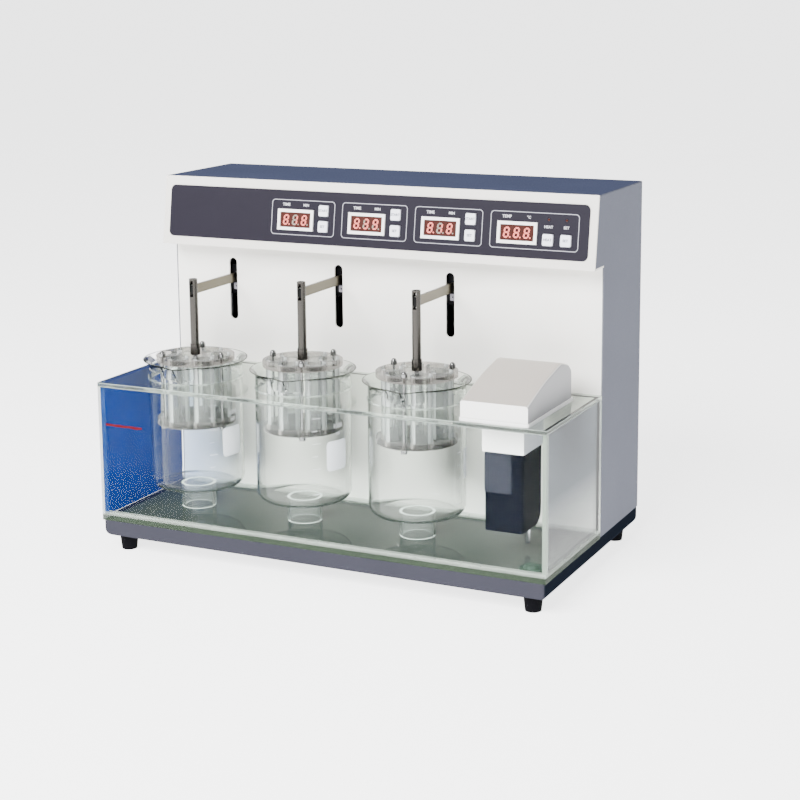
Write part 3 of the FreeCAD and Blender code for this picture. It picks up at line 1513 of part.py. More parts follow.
def heater_element():
    """Bent steel heater: two legs from the neck's head, joined by a half turn in the box."""
    top = cover_top + S.lip_wall + S.neck_rise + S.heater_radius
    half = S.heater_leg_spacing / 2
    drop = top - half - S.heater_radius - box_bottom() - S.box_wall - S.heater_floor_gap
    item = doc.addObject("Part::Feature", "HeaterElement")
    legs = [Vector(float(half) * side, 0, 0) for side in (-1, 1)]
    bend = Vector(0, 0, -float(drop) - float(half))
    down = Vector(0, 0, -float(drop))
    path = Part.Wire([Part.LineSegment(legs[0], legs[0] + down).toShape(),
                      Part.Arc(legs[0] + down, bend, legs[1] + down).toShape(),
                      Part.LineSegment(legs[1] + down, legs[1]).toShape()])
    ring = Part.Wire([Part.Circle(legs[0], Vector(0, 0, 1), S.heater_radius.value).toShape()])
    item.Shape = path.makePipeShell([ring], True, False)
    return place(item, unit_x(), unit_y() - S.heater_set_forward, top)


def temperature_probe():
    """Straight sheath with a wider head that rests on the neck."""
    x, y = probe_place()
    top = cover_top + S.lip_wall + S.neck_rise + S.probe_radius
    low = tank_floor_top + S.probe_floor_gap
    rod = cylinder("ProbeRod", x, y, low, S.probe_radius, top - low)
    knob = cylinder("ProbeHead", x, y, top - S.probe_radius, S.probe_head_radius,
                    S.probe_head_height)
    return fuse("TemperatureProbe", rod, knob)


def heater_and_probe():
    return node(group("HeaterAndProbe", heater_element(), temperature_probe()), "heater_and_probe")


def unit_hood():
    """Grey hood over the unit: low at the front, rising in a crowned slope to a rounded back."""
    body = new_body("UnitHood")
    low = cover_top + S.lip_wall
    y0 = front + S.tank_wall / 2 + (S.lip_length - S.hood_length) / 2
    y1 = y0 + S.hood_length
    peak = y1 - S.hood_peak_setback
    middle = (y0 + peak) / 2
    crown = low + (S.hood_front_height + S.hood_peak_height) / 2 + S.hood_crown
    shoulder = y1 - S.hood_shoulder_setback
    outline = sketch(body, "YZ_Plane", [[
        (y0, low), (y1, low), (y1, low + S.hood_back_height),
        (shoulder, low + S.hood_peak_height - S.hood_crown * 2),
        (peak, low + S.hood_peak_height), (middle, crown), (y0, low + S.hood_front_height)]],
        offset=hood_x())
    feature = pad(body, outline, S.hood_width, symmetric=True)
    for y, radius in ((middle, S.hood_crown_radius), (peak, S.hood_peak_radius),
                      (shoulder, S.hood_back_radius), (y1, S.hood_back_radius)):
        bottom = low.value

        def wanted(edge, place_y=y.value):
            return (runs_along(edge, (1, 0, 0)) and abs(edge.CenterOfMass.y - place_y) < 1e-3
                    and edge.CenterOfMass.z > bottom + 1e-3)

        feature = round_edges(body, feature, radius, wanted)
    side = float(S.hood_width) / 2
    feature = round_edges(body, feature, S.hood_edge_radius, lambda edge: (
        edge.BoundBox.ZMin > bottom + 1e-3
        and abs(abs(edge.CenterOfMass.x - hood_x().value) - side) < 1e-3))
    doc.recompute()
    under = [f"Face{number}" for number, face in enumerate(feature.Shape.Faces, start=1)
             if abs(face.BoundBox.ZMax - bottom) < 1e-3]
    shell = body.newObject("PartDesign::Thickness", "UnitHood_thickness")
    shell.Base = (feature, under)
    shell.Reversed = True
    bind(shell, "Value", S.hood_wall)
    body.Tip = shell
    return node(body, "unit_hood")


def build():
    base_tray()
    base_deck()
    rubber_feet()
    outer_cover()
    front_panel()
    rear_panel()
    head_fascia()
    control_overlay()
    display_bezels()
    display_modules()
    control_board()
    for label, (x, y) in key_centres().items():
        push_key(label, x, y)
    power_entry()
    mains_rocker()
    accessory_sockets()
    power_supply()
    drive_frame()
    guide_rods()
    gear_motors()
    tank_panes()
    tank_left_wall()
    tank_cover()
    beaker_stands()
    drain_plug()
    unit_lip()
    pump_neck()
    filter_box()
    heater_and_probe()
    unit_hood()
    for number in range(stations):
        beaker(number)
        lift_pinion(number)
        slide_block(number)
        lift_arm(number)
        hanger_rod(number)
        basket_plates(number)
        basket_tubes(number)
        basket_fittings(number)


def check_and_write():
    """Stops on any failed feature or bad solid, then writes one file for each node."""
    doc.recompute()
    failed = [item.Name for item in doc.Objects if {"Invalid", "Error"} & set(item.State)]
    if failed:
        raise RuntimeError(f"these features failed: {failed}")
    os.makedirs("parts", exist_ok=True)
    for label, item in made_nodes.items():
        shape = item.Shape
        if shape.isNull() or not shape.isValid() or not shape.Solids:
            raise RuntimeError(f"{label} is not a valid solid")
        shape.exportStep(os.path.join("parts", label + ".step"))
    print(len(made_nodes), "nodes written")


build()
check_and_write()
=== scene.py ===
"""Looks of the tablet disintegration tester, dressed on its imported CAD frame.

Places and outlines are written in millimetres in the CAD frame, and MM turns them into metres.
Widths and heights inside a material are in metres, as Blender has them.
"""

import math

import bmesh
import bpy
from mathutils import Matrix, Vector
from mathutils.bvhtree import BVHTree


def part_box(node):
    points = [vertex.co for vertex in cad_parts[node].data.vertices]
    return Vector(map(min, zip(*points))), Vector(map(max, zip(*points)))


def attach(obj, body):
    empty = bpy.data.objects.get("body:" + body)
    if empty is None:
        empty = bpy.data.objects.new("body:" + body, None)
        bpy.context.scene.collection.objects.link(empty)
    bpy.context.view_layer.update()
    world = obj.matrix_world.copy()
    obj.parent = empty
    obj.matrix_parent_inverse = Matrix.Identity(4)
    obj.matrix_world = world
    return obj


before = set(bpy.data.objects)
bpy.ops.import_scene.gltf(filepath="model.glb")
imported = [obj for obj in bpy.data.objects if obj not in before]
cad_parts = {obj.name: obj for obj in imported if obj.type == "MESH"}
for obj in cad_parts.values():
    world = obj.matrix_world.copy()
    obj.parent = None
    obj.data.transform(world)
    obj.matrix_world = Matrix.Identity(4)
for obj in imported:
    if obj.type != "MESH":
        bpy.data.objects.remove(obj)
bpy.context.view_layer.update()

MM = 0.001
ROOT = "cabinet_and_tank"
STATION_X = (-188.0, -50.0, 88.0)
STATION_Y = -66.0

# The fascia leans back. Heights on it run up the slope from its foot, depths go into it from its
# face, so the faces that stand proud of it have depths below zero.
FASCIA_LEAN = math.atan2(12.0, 78.0)
FASCIA_FOOT_Y, FASCIA_FOOT_Z = -7.5, 331.0
FILM_FACE, DISPLAY_FACE, KEY_FACE = -0.8, -1.4, -2.6

GROUP_START, GROUP_PITCH = -121.5, 89.0
GROUP_LEFT = [GROUP_START + GROUP_PITCH * number for number in range(4)]
GROUP_WIDTH = (80.0, 80.0, 80.0, 100.0)
GROUP_LOW, GROUP_HEIGHT, GROUP_CORNER, GROUP_LINE = 18.5, 39.5, 4.0, 0.75
DISPLAY_OFFSET, DISPLAY_HEIGHT = 31.0, 35.5
KEY_COLUMNS = (66.0, 86.0)
START_KEY_HEIGHT, SET_KEY_HEIGHT = 47.2, 29.6

# Thin print and marks: how far out and how far in each lies from the face that carries it.
LINE_DEPTH = (-0.16, -0.02)
DIGIT_DEPTH = (-0.14, -0.02)
PATCH_DEPTH = (-0.16, -0.03)
TICK_DEPTH = (-0.14, -0.03)
CLIP_DEPTH = (-0.85, -0.05)
WINDOW_DEPTH = (-0.3, -0.02)
LETTER_PROUD = 0.12


# Materials

# Stretches of a noise value that are spread over all of what the noise drives, wide to narrow.
WIDE, EVEN, NARROW = (0.25, 0.75), (0.3, 0.7), (0.35, 0.65)
SMEAR_GLOSS, SMEAR_HAZE = (0.4, 0.7), (0.35, 0.7)
FULL = (0.0, 1.0)


class Finish:
    """One node material, with short calls that add and link its nodes."""

    MIX_FACTOR, MIX_FIRST, MIX_SECOND, MIX_RESULT = 0, 6, 7, 2

    def __init__(self, name):
        self.material = bpy.data.materials.new(name)
        self.material.use_nodes = True
        self.tree = self.material.node_tree
        self.tree.nodes.clear()
        self.out = self.add("ShaderNodeOutputMaterial")
        place = self.add("ShaderNodeTexCoord")
        self.coords, self.normal = place.outputs["Object"], place.outputs["Normal"]

    def add(self, kind, inputs=None, **settings):
        """New node; each input takes a socket, which is linked, or a plain value."""
        item = self.tree.nodes.new(kind)
        for key, value in settings.items():
            setattr(item, key, value)
        for key, value in (inputs or {}).items():
            if isinstance(value, bpy.types.NodeSocket):
                self.tree.links.new(value, item.inputs[key])
            else:
                item.inputs[key].default_value = value
        return item

    def noise(self, scale, detail=3.0, rough=0.55, stretch=(1, 1, 1)):
        mapping = self.add("ShaderNodeMapping", {"Vector": self.coords, "Scale": stretch})
        return self.add("ShaderNodeTexNoise", {
            "Vector": mapping.outputs[0], "Scale": scale, "Detail": detail,
            "Roughness": rough}).outputs["Fac"]

    def spread(self, value, span, to):
        """Carry one stretch of a value over to another, held at its ends."""
        return self.add("ShaderNodeMapRange", {
            "Value": value, "From Min": span[0], "From Max": span[1],
            "To Min": to[0], "To Max": to[1]}).outputs["Result"]

    def mix(self, factor, first, second):
        item = self.add("ShaderNodeMix", {
            self.MIX_FACTOR: factor, self.MIX_FIRST: first, self.MIX_SECOND: second},
            data_type="RGBA")
        return item.outputs[self.MIX_RESULT]

    def math(self, operation, first, second=0.5):
        return self.add("ShaderNodeMath", {0: first, 1: second}, operation=operation).outputs[0]

    def times(self, first, second):
        return self.math("MULTIPLY", first, second)

    def less(self, first, second):
        return self.math("SUBTRACT", first, second)

    def part(self, vector, axis):
        return self.add("ShaderNodeSeparateXYZ", {0: vector}).outputs[axis]

    def inside(self, axis, low, high):
        """1 where the place along one axis lies between two values in metres."""
        value = self.part(self.coords, axis)
        return self.times(self.math("GREATER_THAN", value, low),
                          self.math("LESS_THAN", value, high))

    def faces(self, axis):
        """1 on faces that look along one axis, either way."""
        return self.math("GREATER_THAN", self.math("ABSOLUTE", self.part(self.normal, axis)), 0.5)

    def turned_away(self, blend, power):
        """0 on glass seen straight on, rising to 1 where it turns away."""
        facing = self.add("ShaderNodeLayerWeight", {"Blend": blend}).outputs["Facing"]
        return self.math("POWER", facing, power)

    def edge_mask(self, width):
        """1 along sharp outer edges and 0 on open faces, and the eased normal there."""
        eased = self.add("ShaderNodeBevel", {"Radius": width}, samples=4).outputs["Normal"]
        flat = self.add("ShaderNodeNewGeometry").outputs["Normal"]
        dot = self.add("ShaderNodeVectorMath", {0: eased, 1: flat}, operation="DOT_PRODUCT")
        return self.spread(dot.outputs["Value"], (0.98, 0.78), FULL), eased

    def blend(self, amount, first, second):
        return self.add("ShaderNodeMixShader", {0: amount, 1: first, 2: second}).outputs[0]

    def shade(self, surface):
        self.tree.links.new(surface, self.out.inputs["Surface"])
        return self.material


def tone(colour, factor):
    """A colour made lighter or darker, with its alpha."""
    return tuple(min(1.0, part * factor) for part in colour[:3]) + (1.0,)


def coated(name, colour, rough=0.45, peel=700.0, peel_depth=0.00004, mottle=0.05, worn=None,
           worn_amount=0.5, ease=0.0004, metallic=0.0, stretch=(1, 1, 1), spec=0.25,
           top=None, side=None, end=None):
    """Paint, moulded plastic or metal: mottled colour, a fine grain and lighter worn edges.

    peel and peel_depth are the grain's scale and height, worn and worn_amount the colour and
    strength of the wear on edges, and ease its width. top, side and end are painted light and
    shade: the colours of faces that look up, sideways and to the front or back, made lighter or
    darker for how the light falls on them.
    """
    finish = Finish(name)
    drift = finish.spread(finish.noise(9.0, 4.0), EVEN, FULL)

    def mottled(base):
        return finish.mix(drift, tone(base, 1 - mottle), tone(base, 1 + mottle))

    base = mottled(colour)
    # Painted light and shade: faces turned up, sideways or to the ends get their own lighter or
    # darker colour.
    for painted_light_colour, axis in ((top, "Z"), (side, "X"), (end, "Y")):
        if painted_light_colour:
            turned = finish.math("ABSOLUTE", finish.part(finish.normal, axis))
            base = finish.mix(finish.spread(turned, (0.6, 0.9), FULL), base,
                              mottled(painted_light_colour))
    grain = finish.noise(peel, 2.0, 0.6, stretch)
    mask, eased = finish.edge_mask(ease)
    patchy = finish.times(mask, finish.spread(finish.noise(160.0), NARROW, (0.25, 1.0)))
    base = finish.mix(finish.times(patchy, worn_amount), base, worn or tone(colour, 1.25))
    bump = finish.add("ShaderNodeBump", {
        "Strength": 0.5, "Distance": peel_depth, "Height": grain, "Normal": eased})
    roughness = finish.spread(grain, WIDE, (max(0.02, rough * 0.82), min(1.0, rough * 1.15)))
    shader = finish.add("ShaderNodeBsdfPrincipled", {
        "Base Color": base, "Roughness": roughness, "Metallic": metallic,
        "Specular IOR Level": spec, "Normal": bump.outputs["Normal"]})
    return finish.shade(shader.outputs[0])


def ink(name, colour, mottle=0.05):
    """Matt screen-printed ink."""
    return coated(name, colour, 0.6, peel=1800, mottle=mottle, worn_amount=0.0)


def brushed(name, colour, rough, along="z", end=None):
    """Metal with fine drawn lines along one axis."""
    stretch = tuple(0.03 if axis == along else 1 for axis in "xyz")
    return coated(name, colour, rough, peel=260.0, peel_depth=0.00002, mottle=0.06, metallic=1.0,
                  stretch=stretch, worn_amount=0.35, ease=0.0002, end=end)


# Cut edges of the clear plates. Each function returns how frosted a place is, and the frost's
# colour. HAIR is the margin that keeps a limit off the face it marks.
STAND_EDGE = (0.80, 0.86, 0.82, 1.0)
LID_EDGE = (0.40, 0.46, 0.42, 1.0)
PANE_EDGE = (0.37, 0.42, 0.37, 1.0)
FLOOR_RIM = (0.036, 0.050, 0.034, 1.0)
PANE_WALL, GLUE_HEIGHT, SAWN_CORNER, HAIR = 0.006, 0.0042, 0.0011, 0.0001


def lid_edges(finish):
    """Sawn rims of the cover plate, palest at their two sharp corners."""
    low, high = (corner.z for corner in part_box("tank_cover"))
    middle = finish.times(finish.inside("Z", low + SAWN_CORNER, high - SAWN_CORNER), 0.35)
    side = finish.less(1.0, finish.faces("Z"))
    return finish.times(side, finish.less(0.5, middle)), LID_EDGE


def pane_edges(finish):
    """Pane ends and glued joints, and the floor pane's rim, which is dark green."""
    low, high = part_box("tank_panes")
    floor_top, front, back = low.z + PANE_WALL, low.y + PANE_WALL, high.y - PANE_WALL
    left, right = low.x + PANE_WALL, high.x - PANE_WALL
    side = finish.less(1.0, finish.faces("Z"))
    rim = finish.times(side, finish.inside("Z", 0.0, floor_top))
    glue = finish.times(side, finish.inside("Z", floor_top, floor_top + GLUE_HEIGHT))
    ends = finish.times(finish.faces("X"), finish.less(
        1.0, finish.inside("Y", front + HAIR, back - HAIR)))
    corner = finish.times(finish.inside("Y", front - HAIR, front + HAIR), finish.less(
        1.0, finish.inside("X", left - HAIR, right + HAIR)))
    amount = finish.math("MAXIMUM", finish.times(finish.math("MAXIMUM", glue, ends), 0.5),
                         finish.times(finish.math("MAXIMUM", rim, corner), 0.85))
    return amount, finish.mix(rim, PANE_EDGE, FLOOR_RIM)


def stand_edges(finish):
    """Top and bottom rims of the ring stands."""
    return finish.times(finish.faces("Z"), 0.7), STAND_EDGE


def right_reflection_mask(finish):
    """How much painted dark reflection the right pane takes: less near the floor, none elsewhere.
    """
    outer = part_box("tank_panes")[1].x
    pane = finish.times(finish.inside("X", outer - PANE_WALL - HAIR, outer + HAIR),
                        finish.less(1.0, finish.faces("Y")))
    return finish.times(pane, finish.spread(finish.part(finish.coords, "Z"), (0.06, 0.12),
                                            (0.35, 1.0)))


def clear(name, tint, haze, glint, ior=1.49, haze_colour=(0.8, 0.85, 0.83, 1.0), cut_edges=None,
          painted_right_reflection=None, painted_edge_shade=None, shadow_tint=(0.99, 1.0, 0.995, 1.0)):
    """Clear acrylic or glass that bends light, and lets the lamps through to what is behind it.

    haze is the share of milky film on it and glint the strength of its reflections.
    painted_edge_shade is painted shade that darkens the glass where it turns away,
    painted_right_reflection a painted dark reflection on the right pane, shadow_tint its shadow.
    """
    finish = Finish(name)
    smear = finish.noise(22.0, 4.0)
    ripple = finish.add("ShaderNodeBump", {
        "Strength": 0.12, "Distance": 0.0001, "Height": finish.noise(30.0, 2.0)})
    colour = tint
    # Painted shade: the glass is darkened where it turns away from view.
    if painted_edge_shade:
        colour = finish.mix(finish.turned_away(0.5, 3.0), tint, painted_edge_shade)
    # Painted dark reflection: the right pane is darkened, less so near its foot.
    if painted_right_reflection:
        colour = finish.mix(right_reflection_mask(finish), tint, painted_right_reflection)
    glass = finish.add("ShaderNodeBsdfPrincipled", {
        "Base Color": colour, "Roughness": finish.spread(smear, SMEAR_GLOSS, (0.0, 0.03)),
        "IOR": ior, "Transmission Weight": 1.0, "Specular Tint": (glint, glint, glint, 1.0),
        "Normal": ripple.outputs["Normal"]}).outputs[0]
    amount = finish.spread(smear, SMEAR_HAZE, (haze * 0.7, haze * 1.2))
    if cut_edges:
        frosted, haze_colour = cut_edges(finish)
        amount = finish.math("MAXIMUM", amount, finish.times(
            frosted, finish.spread(smear, EVEN, (0.75, 1.0))))
    film = finish.add("ShaderNodeBsdfPrincipled", {
        "Base Color": haze_colour, "Roughness": 0.5, "Specular IOR Level": 0.02}).outputs[0]
    through = finish.add("ShaderNodeBsdfTransparent", {"Color": shadow_tint}).outputs[0]
    shadow = finish.add("ShaderNodeLightPath").outputs["Is Shadow Ray"]
    return finish.shade(finish.blend(shadow, finish.blend(amount, glass, film), through))


def thin_clear(name, tint, painted_edge_shade, body, gloss_ior=1.5, rim_tint=None):
    """Thin clear ware seen through many layers: mostly see-through, with painted shade where it
    turns away.

    body is its milkiness, and rim_tint the colour of the faces that don't lie flat.
    """
    finish = Finish(name)
    # Painted shade: darker where the ware turns away from view.
    colour = finish.mix(finish.turned_away(0.55, 2.2), tint, painted_edge_shade)
    if rim_tint:
        colour = finish.mix(finish.faces("Z"), rim_tint, colour)
    through = finish.add("ShaderNodeBsdfTransparent", {"Color": colour}).outputs[0]
    smear = finish.noise(60.0, 3.0)
    shine = finish.add("ShaderNodeBsdfPrincipled", {
        "Base Color": tone(tint, 0.9), "Roughness": finish.spread(smear, EVEN, (0.03, 0.12)),
        "Specular IOR Level": 0.5}).outputs[0]
    fresnel = finish.add("ShaderNodeFresnel", {"IOR": gloss_ior}).outputs[0]
    amount = finish.math("ADD", finish.times(fresnel, 0.55),
                         finish.spread(smear, EVEN, (body * 0.6, body * 1.3)))
    return finish.shade(finish.blend(finish.math("MINIMUM", amount, 0.85), through, shine))


def glowing(name, colour, strength, dark):
    """Lit display segments: a glow that varies a little under a smooth window."""
    finish = Finish(name)
    flicker = finish.spread(finish.noise(500.0, 2.0), EVEN, (0.85, 1.1))
    shader = finish.add("ShaderNodeBsdfPrincipled", {
        "Base Color": dark, "Roughness": 0.3, "Emission Strength": strength,
        "Emission Color": finish.mix(flicker, dark, colour)})
    return finish.shade(shader.outputs[0])


PANEL = coated("panel_powder_coat", (0.87, 0.855, 0.81), 0.42, mottle=0.02, worn_amount=0.15)
# Painted shade: the fascia takes a darker copy of the panel's off-white paint.
FASCIA = coated("fascia_powder_coat_painted_shade", (0.70, 0.675, 0.635), 0.42, mottle=0.02, worn_amount=0.15)
# Painted shade: the cover's top is painted far darker and bluer, and its sides somewhat darker,
# than its front and back.
COVER = coated("cover_powder_coat", (0.135, 0.140, 0.165), 0.5, worn=(0.4, 0.4, 0.43, 1.0),
               worn_amount=0.3, spec=0.02, top=(0.043, 0.051, 0.092), side=(0.102, 0.108, 0.135))
# Painted shade: the base's sides are painted far darker than its front.
BASE = coated("base_powder_coat", (0.034, 0.034, 0.044), mottle=0.06,
              worn=(0.12, 0.12, 0.14, 1.0), worn_amount=0.15, spec=0.0, side=(0.007, 0.009, 0.014))
FILM = coated("overlay_film", (0.0125, 0.011, 0.017), 0.5, peel=2400, peel_depth=0.000015,
              mottle=0.04, worn_amount=0.1, spec=0.08)
INK = ink("white_ink", (0.62, 0.62, 0.66))
LINE_INK = ink("line_ink", (0.36, 0.36, 0.40), mottle=0.08)
GREY_INK = ink("grey_ink", (0.045, 0.050, 0.085))
RED_INK = coated("red_marker", (0.080, 0.0010, 0.0050), peel=500, peel_depth=0.0001,
                 mottle=0.25, worn_amount=0.0, spec=0.08)
FRAME_WHITE = coated("bezel_plastic", (0.88, 0.87, 0.86), 0.3, peel=1500, mottle=0.02,
                     worn_amount=0.1)
WINDOW = coated("display_window", (0.050, 0.018, 0.015), 0.12, peel=2000, peel_depth=0.00001,
                mottle=0.1, worn_amount=0.0, spec=0.15)
KEYCAP = coated("keycap_plastic", (0.78, 0.79, 0.87), 0.38, peel=2000, mottle=0.02,
                worn_amount=0.2)
WHITE_PLASTIC = coated("white_plastic", (0.94, 0.93, 0.92), 0.32, peel=1200, mottle=0.02,
                       worn_amount=0.15)
# Painted shade: the hood's top and sides are painted far darker than its front.
HOOD = coated("hood_plastic", (0.86, 0.85, 0.83), peel=900, mottle=0.03, worn_amount=0.3,
              top=(0.45, 0.41, 0.37), side=(0.30, 0.30, 0.31))
BLACK = coated("black_plastic", (0.014, 0.014, 0.016), 0.4, peel=1200, mottle=0.12,
               worn_amount=0.35, spec=0.15)
ROCKER = coated("rocker_plastic", (0.02, 0.02, 0.022), 0.25, peel=1800, peel_depth=0.00001,
                mottle=0.1, worn_amount=0.3, spec=0.2)
RUBBER = coated("foot_rubber", (0.003, 0.003, 0.004), 0.75, peel=500, peel_depth=0.0001,
                mottle=0.2, worn_amount=0.1, spec=0.02)
# Painted shade: the nylon slide blocks are painted near black, so the slots they sit behind read as
# shade.
SLIDER_SLOT_SHADE = coated("nylon_painted_slot_shade", (0.006, 0.006, 0.007), 0.5, peel=800, mottle=0.1,
                worn_amount=0.15, spec=0.05)
CLIP = coated("clip_steel", (0.19, 0.18, 0.205), 0.4, peel=300, mottle=0.08, worn_amount=0.3)
BOARD = coated("soldered_board", (0.02, 0.10, 0.05), 0.35, peel=400, mottle=0.2, worn_amount=0.2)
MOTOR = coated("motor_enamel", (0.035, 0.038, 0.045), 0.35, mottle=0.1)
ZINC = coated("zinc_sheet", (0.045, 0.047, 0.052), peel=300, mottle=0.1, metallic=1.0,
              worn_amount=0.3)
DECK = coated("deck_sheet", (0.056, 0.070, 0.061), 0.5, mottle=0.06, worn_amount=0.3, spec=0.05)
SUPPLY = coated("anodised_case", (0.6, 0.61, 0.63), 0.35, peel=500, metallic=1.0)
ROD = brushed("ground_rod_steel", (0.62, 0.62, 0.64), 0.16)
GUIDE = brushed("oiled_rod_steel", (0.05, 0.05, 0.055), 0.3)
# Painted shade: the arms' front and back end faces are painted near black.
ARM = brushed("arm_steel", (0.112, 0.101, 0.074), 0.34, along="y", end=(0.01, 0.01, 0.01))
HANGER = brushed("hanger_steel", (0.050, 0.047, 0.043), 0.24)
FITTING = brushed("fitting_steel", (0.20, 0.20, 0.20), 0.15)
MESH_STEEL = brushed("mesh_steel", (0.5, 0.5, 0.5), 0.25, along="x")
BRASS = coated("machined_brass", (0.72, 0.5, 0.2), 0.28, peel=600, metallic=1.0, mottle=0.08)
SMOKED = coated("smoked_case", (0.0015, 0.0022, 0.005), 0.3, peel=900, peel_depth=0.00002,
                mottle=0.2, worn_amount=0.2, spec=0.01)
SMOKED_WINDOW = coated("smoked_window", (0.017, 0.0185, 0.025), 0.3, peel=900, peel_depth=0.00002,
                       mottle=0.1, worn_amount=0.1, spec=0.02)
# The right pane carries a painted dark reflection, given by painted_right_reflection.
TANK = clear("tank_acrylic", (0.985, 1.0, 0.99, 1.0), haze=0.001, glint=0.3, ior=1.14,
             cut_edges=pane_edges, painted_right_reflection=(0.17, 0.19, 0.235, 1.0))
TANK_LID = clear("cover_acrylic", (0.80, 0.84, 0.78, 1.0), haze=0.003, glint=0.3, ior=1.18,
                 cut_edges=lid_edges, shadow_tint=(0.82, 0.85, 0.82, 1.0))
BLUE = clear("blue_acrylic", (0.010, 0.036, 0.17, 1.0), haze=0.7, glint=0.2, ior=1.12,
             haze_colour=(0.0055, 0.038, 0.235, 1.0), shadow_tint=(0.3, 0.5, 0.9, 1.0))
# Painted shade: stands, beakers and the thin ware (tubes, plates, rims) are darkened where their
# glass turns away.
STAND = clear("stand_acrylic", (0.98, 1.0, 0.99, 1.0), haze=0.03, glint=0.8,
              cut_edges=stand_edges, painted_edge_shade=(0.30, 0.36, 0.33, 1.0))
BEAKER = clear("beaker_glass", (0.998, 1.0, 1.0, 1.0), haze=0.003, glint=0.12, ior=1.47,
               painted_edge_shade=(0.34, 0.38, 0.36, 1.0))
TUBE = thin_clear("tube_glass", (0.97, 0.985, 0.98, 1.0), (0.42, 0.44, 0.44, 1.0), body=0.02)
PLATE = thin_clear("plate_acrylic", (0.93, 0.92, 0.90, 1.0), (0.50, 0.49, 0.47, 1.0), body=0.02,
                   gloss_ior=1.3, rim_tint=(0.62, 0.60, 0.58, 1.0))
RIM = thin_clear("rim_glass", (0.33, 0.34, 0.28, 1.0), (0.06, 0.065, 0.045, 1.0), body=0.02,
                 gloss_ior=1.2)
GLOW = glowing("lit_segment", (1.0, 0.20, 0.15, 1.0), 1.3, (0.50, 0.11, 0.09, 1.0))
UNLIT = coated("unlit_segment", (0.27, 0.22, 0.18), 0.4, peel=2000, mottle=0.08, worn_amount=0.0)
PATCH = coated("writing_patch", (0.80, 0.82, 0.88), 0.7, peel=1500, mottle=0.04, worn_amount=0.0)
PLUG = coated("plug_plastic", (0.030, 0.050, 0.038), 0.4, peel=1200, worn_amount=0.1, spec=0.02)

NODE_FINISH = {
    "base_tray": BASE, "base_deck": DECK, "rubber_feet": RUBBER, "outer_cover": COVER,
    "front_panel": PANEL, "rear_panel": COVER, "head_fascia": FASCIA, "control_overlay": FILM,
    "display_bezels": FRAME_WHITE, "display_modules": WINDOW, "control_board": BOARD,
    "power_entry": BLACK, "mains_rocker": ROCKER, "accessory_sockets": BLACK,
    "power_supply": SUPPLY, "drive_frame": ZINC, "guide_rods": GUIDE, "gear_motors": MOTOR,
    "tank_panes": TANK, "tank_left_wall": BLUE, "tank_cover": TANK_LID, "drain_plug": PLUG,
    "beaker_stands": STAND, "unit_lip": WHITE_PLASTIC, "pump_neck": WHITE_PLASTIC,
    "filter_box": SMOKED, "heater_and_probe": ROD, "unit_hood": HOOD,
}
STATION_FINISH = {
    "lift_pinion": BRASS, "slide_block": SLIDER_SLOT_SHADE, "lift_arm": ARM, "hanger_rod": HANGER,
    "basket_plates": PLATE, "basket_tubes": TUBE, "basket_fittings": FITTING, "beaker": BEAKER,
}
for prefix, material in STATION_FINISH.items():
    for number in (1, 2, 3):
        NODE_FINISH[f"{prefix}_{number}"] = material

for node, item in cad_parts.items():
    if not item.material_slots:
        item.data.materials.append(None)
    for place in item.material_slots:
        place.material = NODE_FINISH.get(node, KEYCAP)  # what has no row is one of the eight keys


# Meshes

def mesh_from(name, bm):
    bmesh.ops.recalc_face_normals(bm, faces=bm.faces)
    mesh = bpy.data.meshes.new(name)
    bm.to_mesh(mesh)
    bm.free()
    return mesh


def as_piece(name, bm, material, body, smooth=False):
    """A piece of the scene that rides on one body and takes one material slot."""
    mesh = mesh_from(name, bm)
    item = bpy.data.objects.new(name, mesh)
    bpy.context.scene.collection.objects.link(item)
    mesh.materials.append(material)
    for face in mesh.polygons:
        face.use_smooth = smooth
    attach(item, body)


def prism(bm, outline, depths, where):
    """Closed solid between two depths with one outline; where turns (x, z, depth) into a place."""
    front, back = ([bm.verts.new(where(x, z, depth)) for x, z in outline] for depth in depths)
    bm.faces.new(front)
    bm.faces.new(back[::-1])
    for i in range(len(outline)):
        j = (i + 1) % len(outline)
        bm.faces.new((front[j], front[i], back[i], back[j]))


def ring(bm, outer, inner, depths, where):
    """Closed frame between two outlines that have the same number of points."""
    outer_near, inner_near, outer_far, inner_far = (
        [bm.verts.new(where(x, z, depth)) for x, z in outline]
        for depth in depths for outline in (outer, inner))
    for i in range(len(outer)):
        j = (i + 1) % len(outer)
        for a, b in ((outer_near, inner_near), (inner_near, inner_far),
                     (inner_far, outer_far), (outer_far, outer_near)):
            bm.faces.new((a[i], a[j], b[j], b[i]))


def curved_prism(bm, outline, depths, where, columns):
    """Patch that follows a curved wall: its outline is cut into upright columns."""
    near, far = depths
    left, right = min(x for x, _ in outline), max(x for x, _ in outline)
    slack = 1e-9

    def height_at(x, pick):
        found = []
        for (x0, z0), (x1, z1) in zip(outline, outline[1:] + outline[:1]):
            if min(x0, x1) - slack <= x <= max(x0, x1) + slack:
                found += [z0, z1] if x0 == x1 else [z0 + (z1 - z0) * (x - x0) / (x1 - x0)]
        return pick(found)

    loops = []
    for column in range(columns + 1):
        x = left + (right - left) * column / columns
        low, high = height_at(x, min), height_at(x, max)
        loops.append([bm.verts.new(where(x, low, near)), bm.verts.new(where(x, high, near)),
                      bm.verts.new(where(x, high, far)), bm.verts.new(where(x, low, far))])
    skin(bm, loops)


def skin(bm, loops):
    """Closed solid over a row of loops that have the same number of points."""
    for low, high in zip(loops, loops[1:]):
        for i in range(len(low)):
            j = (i + 1) % len(low)
            bm.faces.new((low[i], low[j], high[j], high[i]))
    bm.faces.new(loops[0][::-1])
    bm.faces.new(loops[-1])


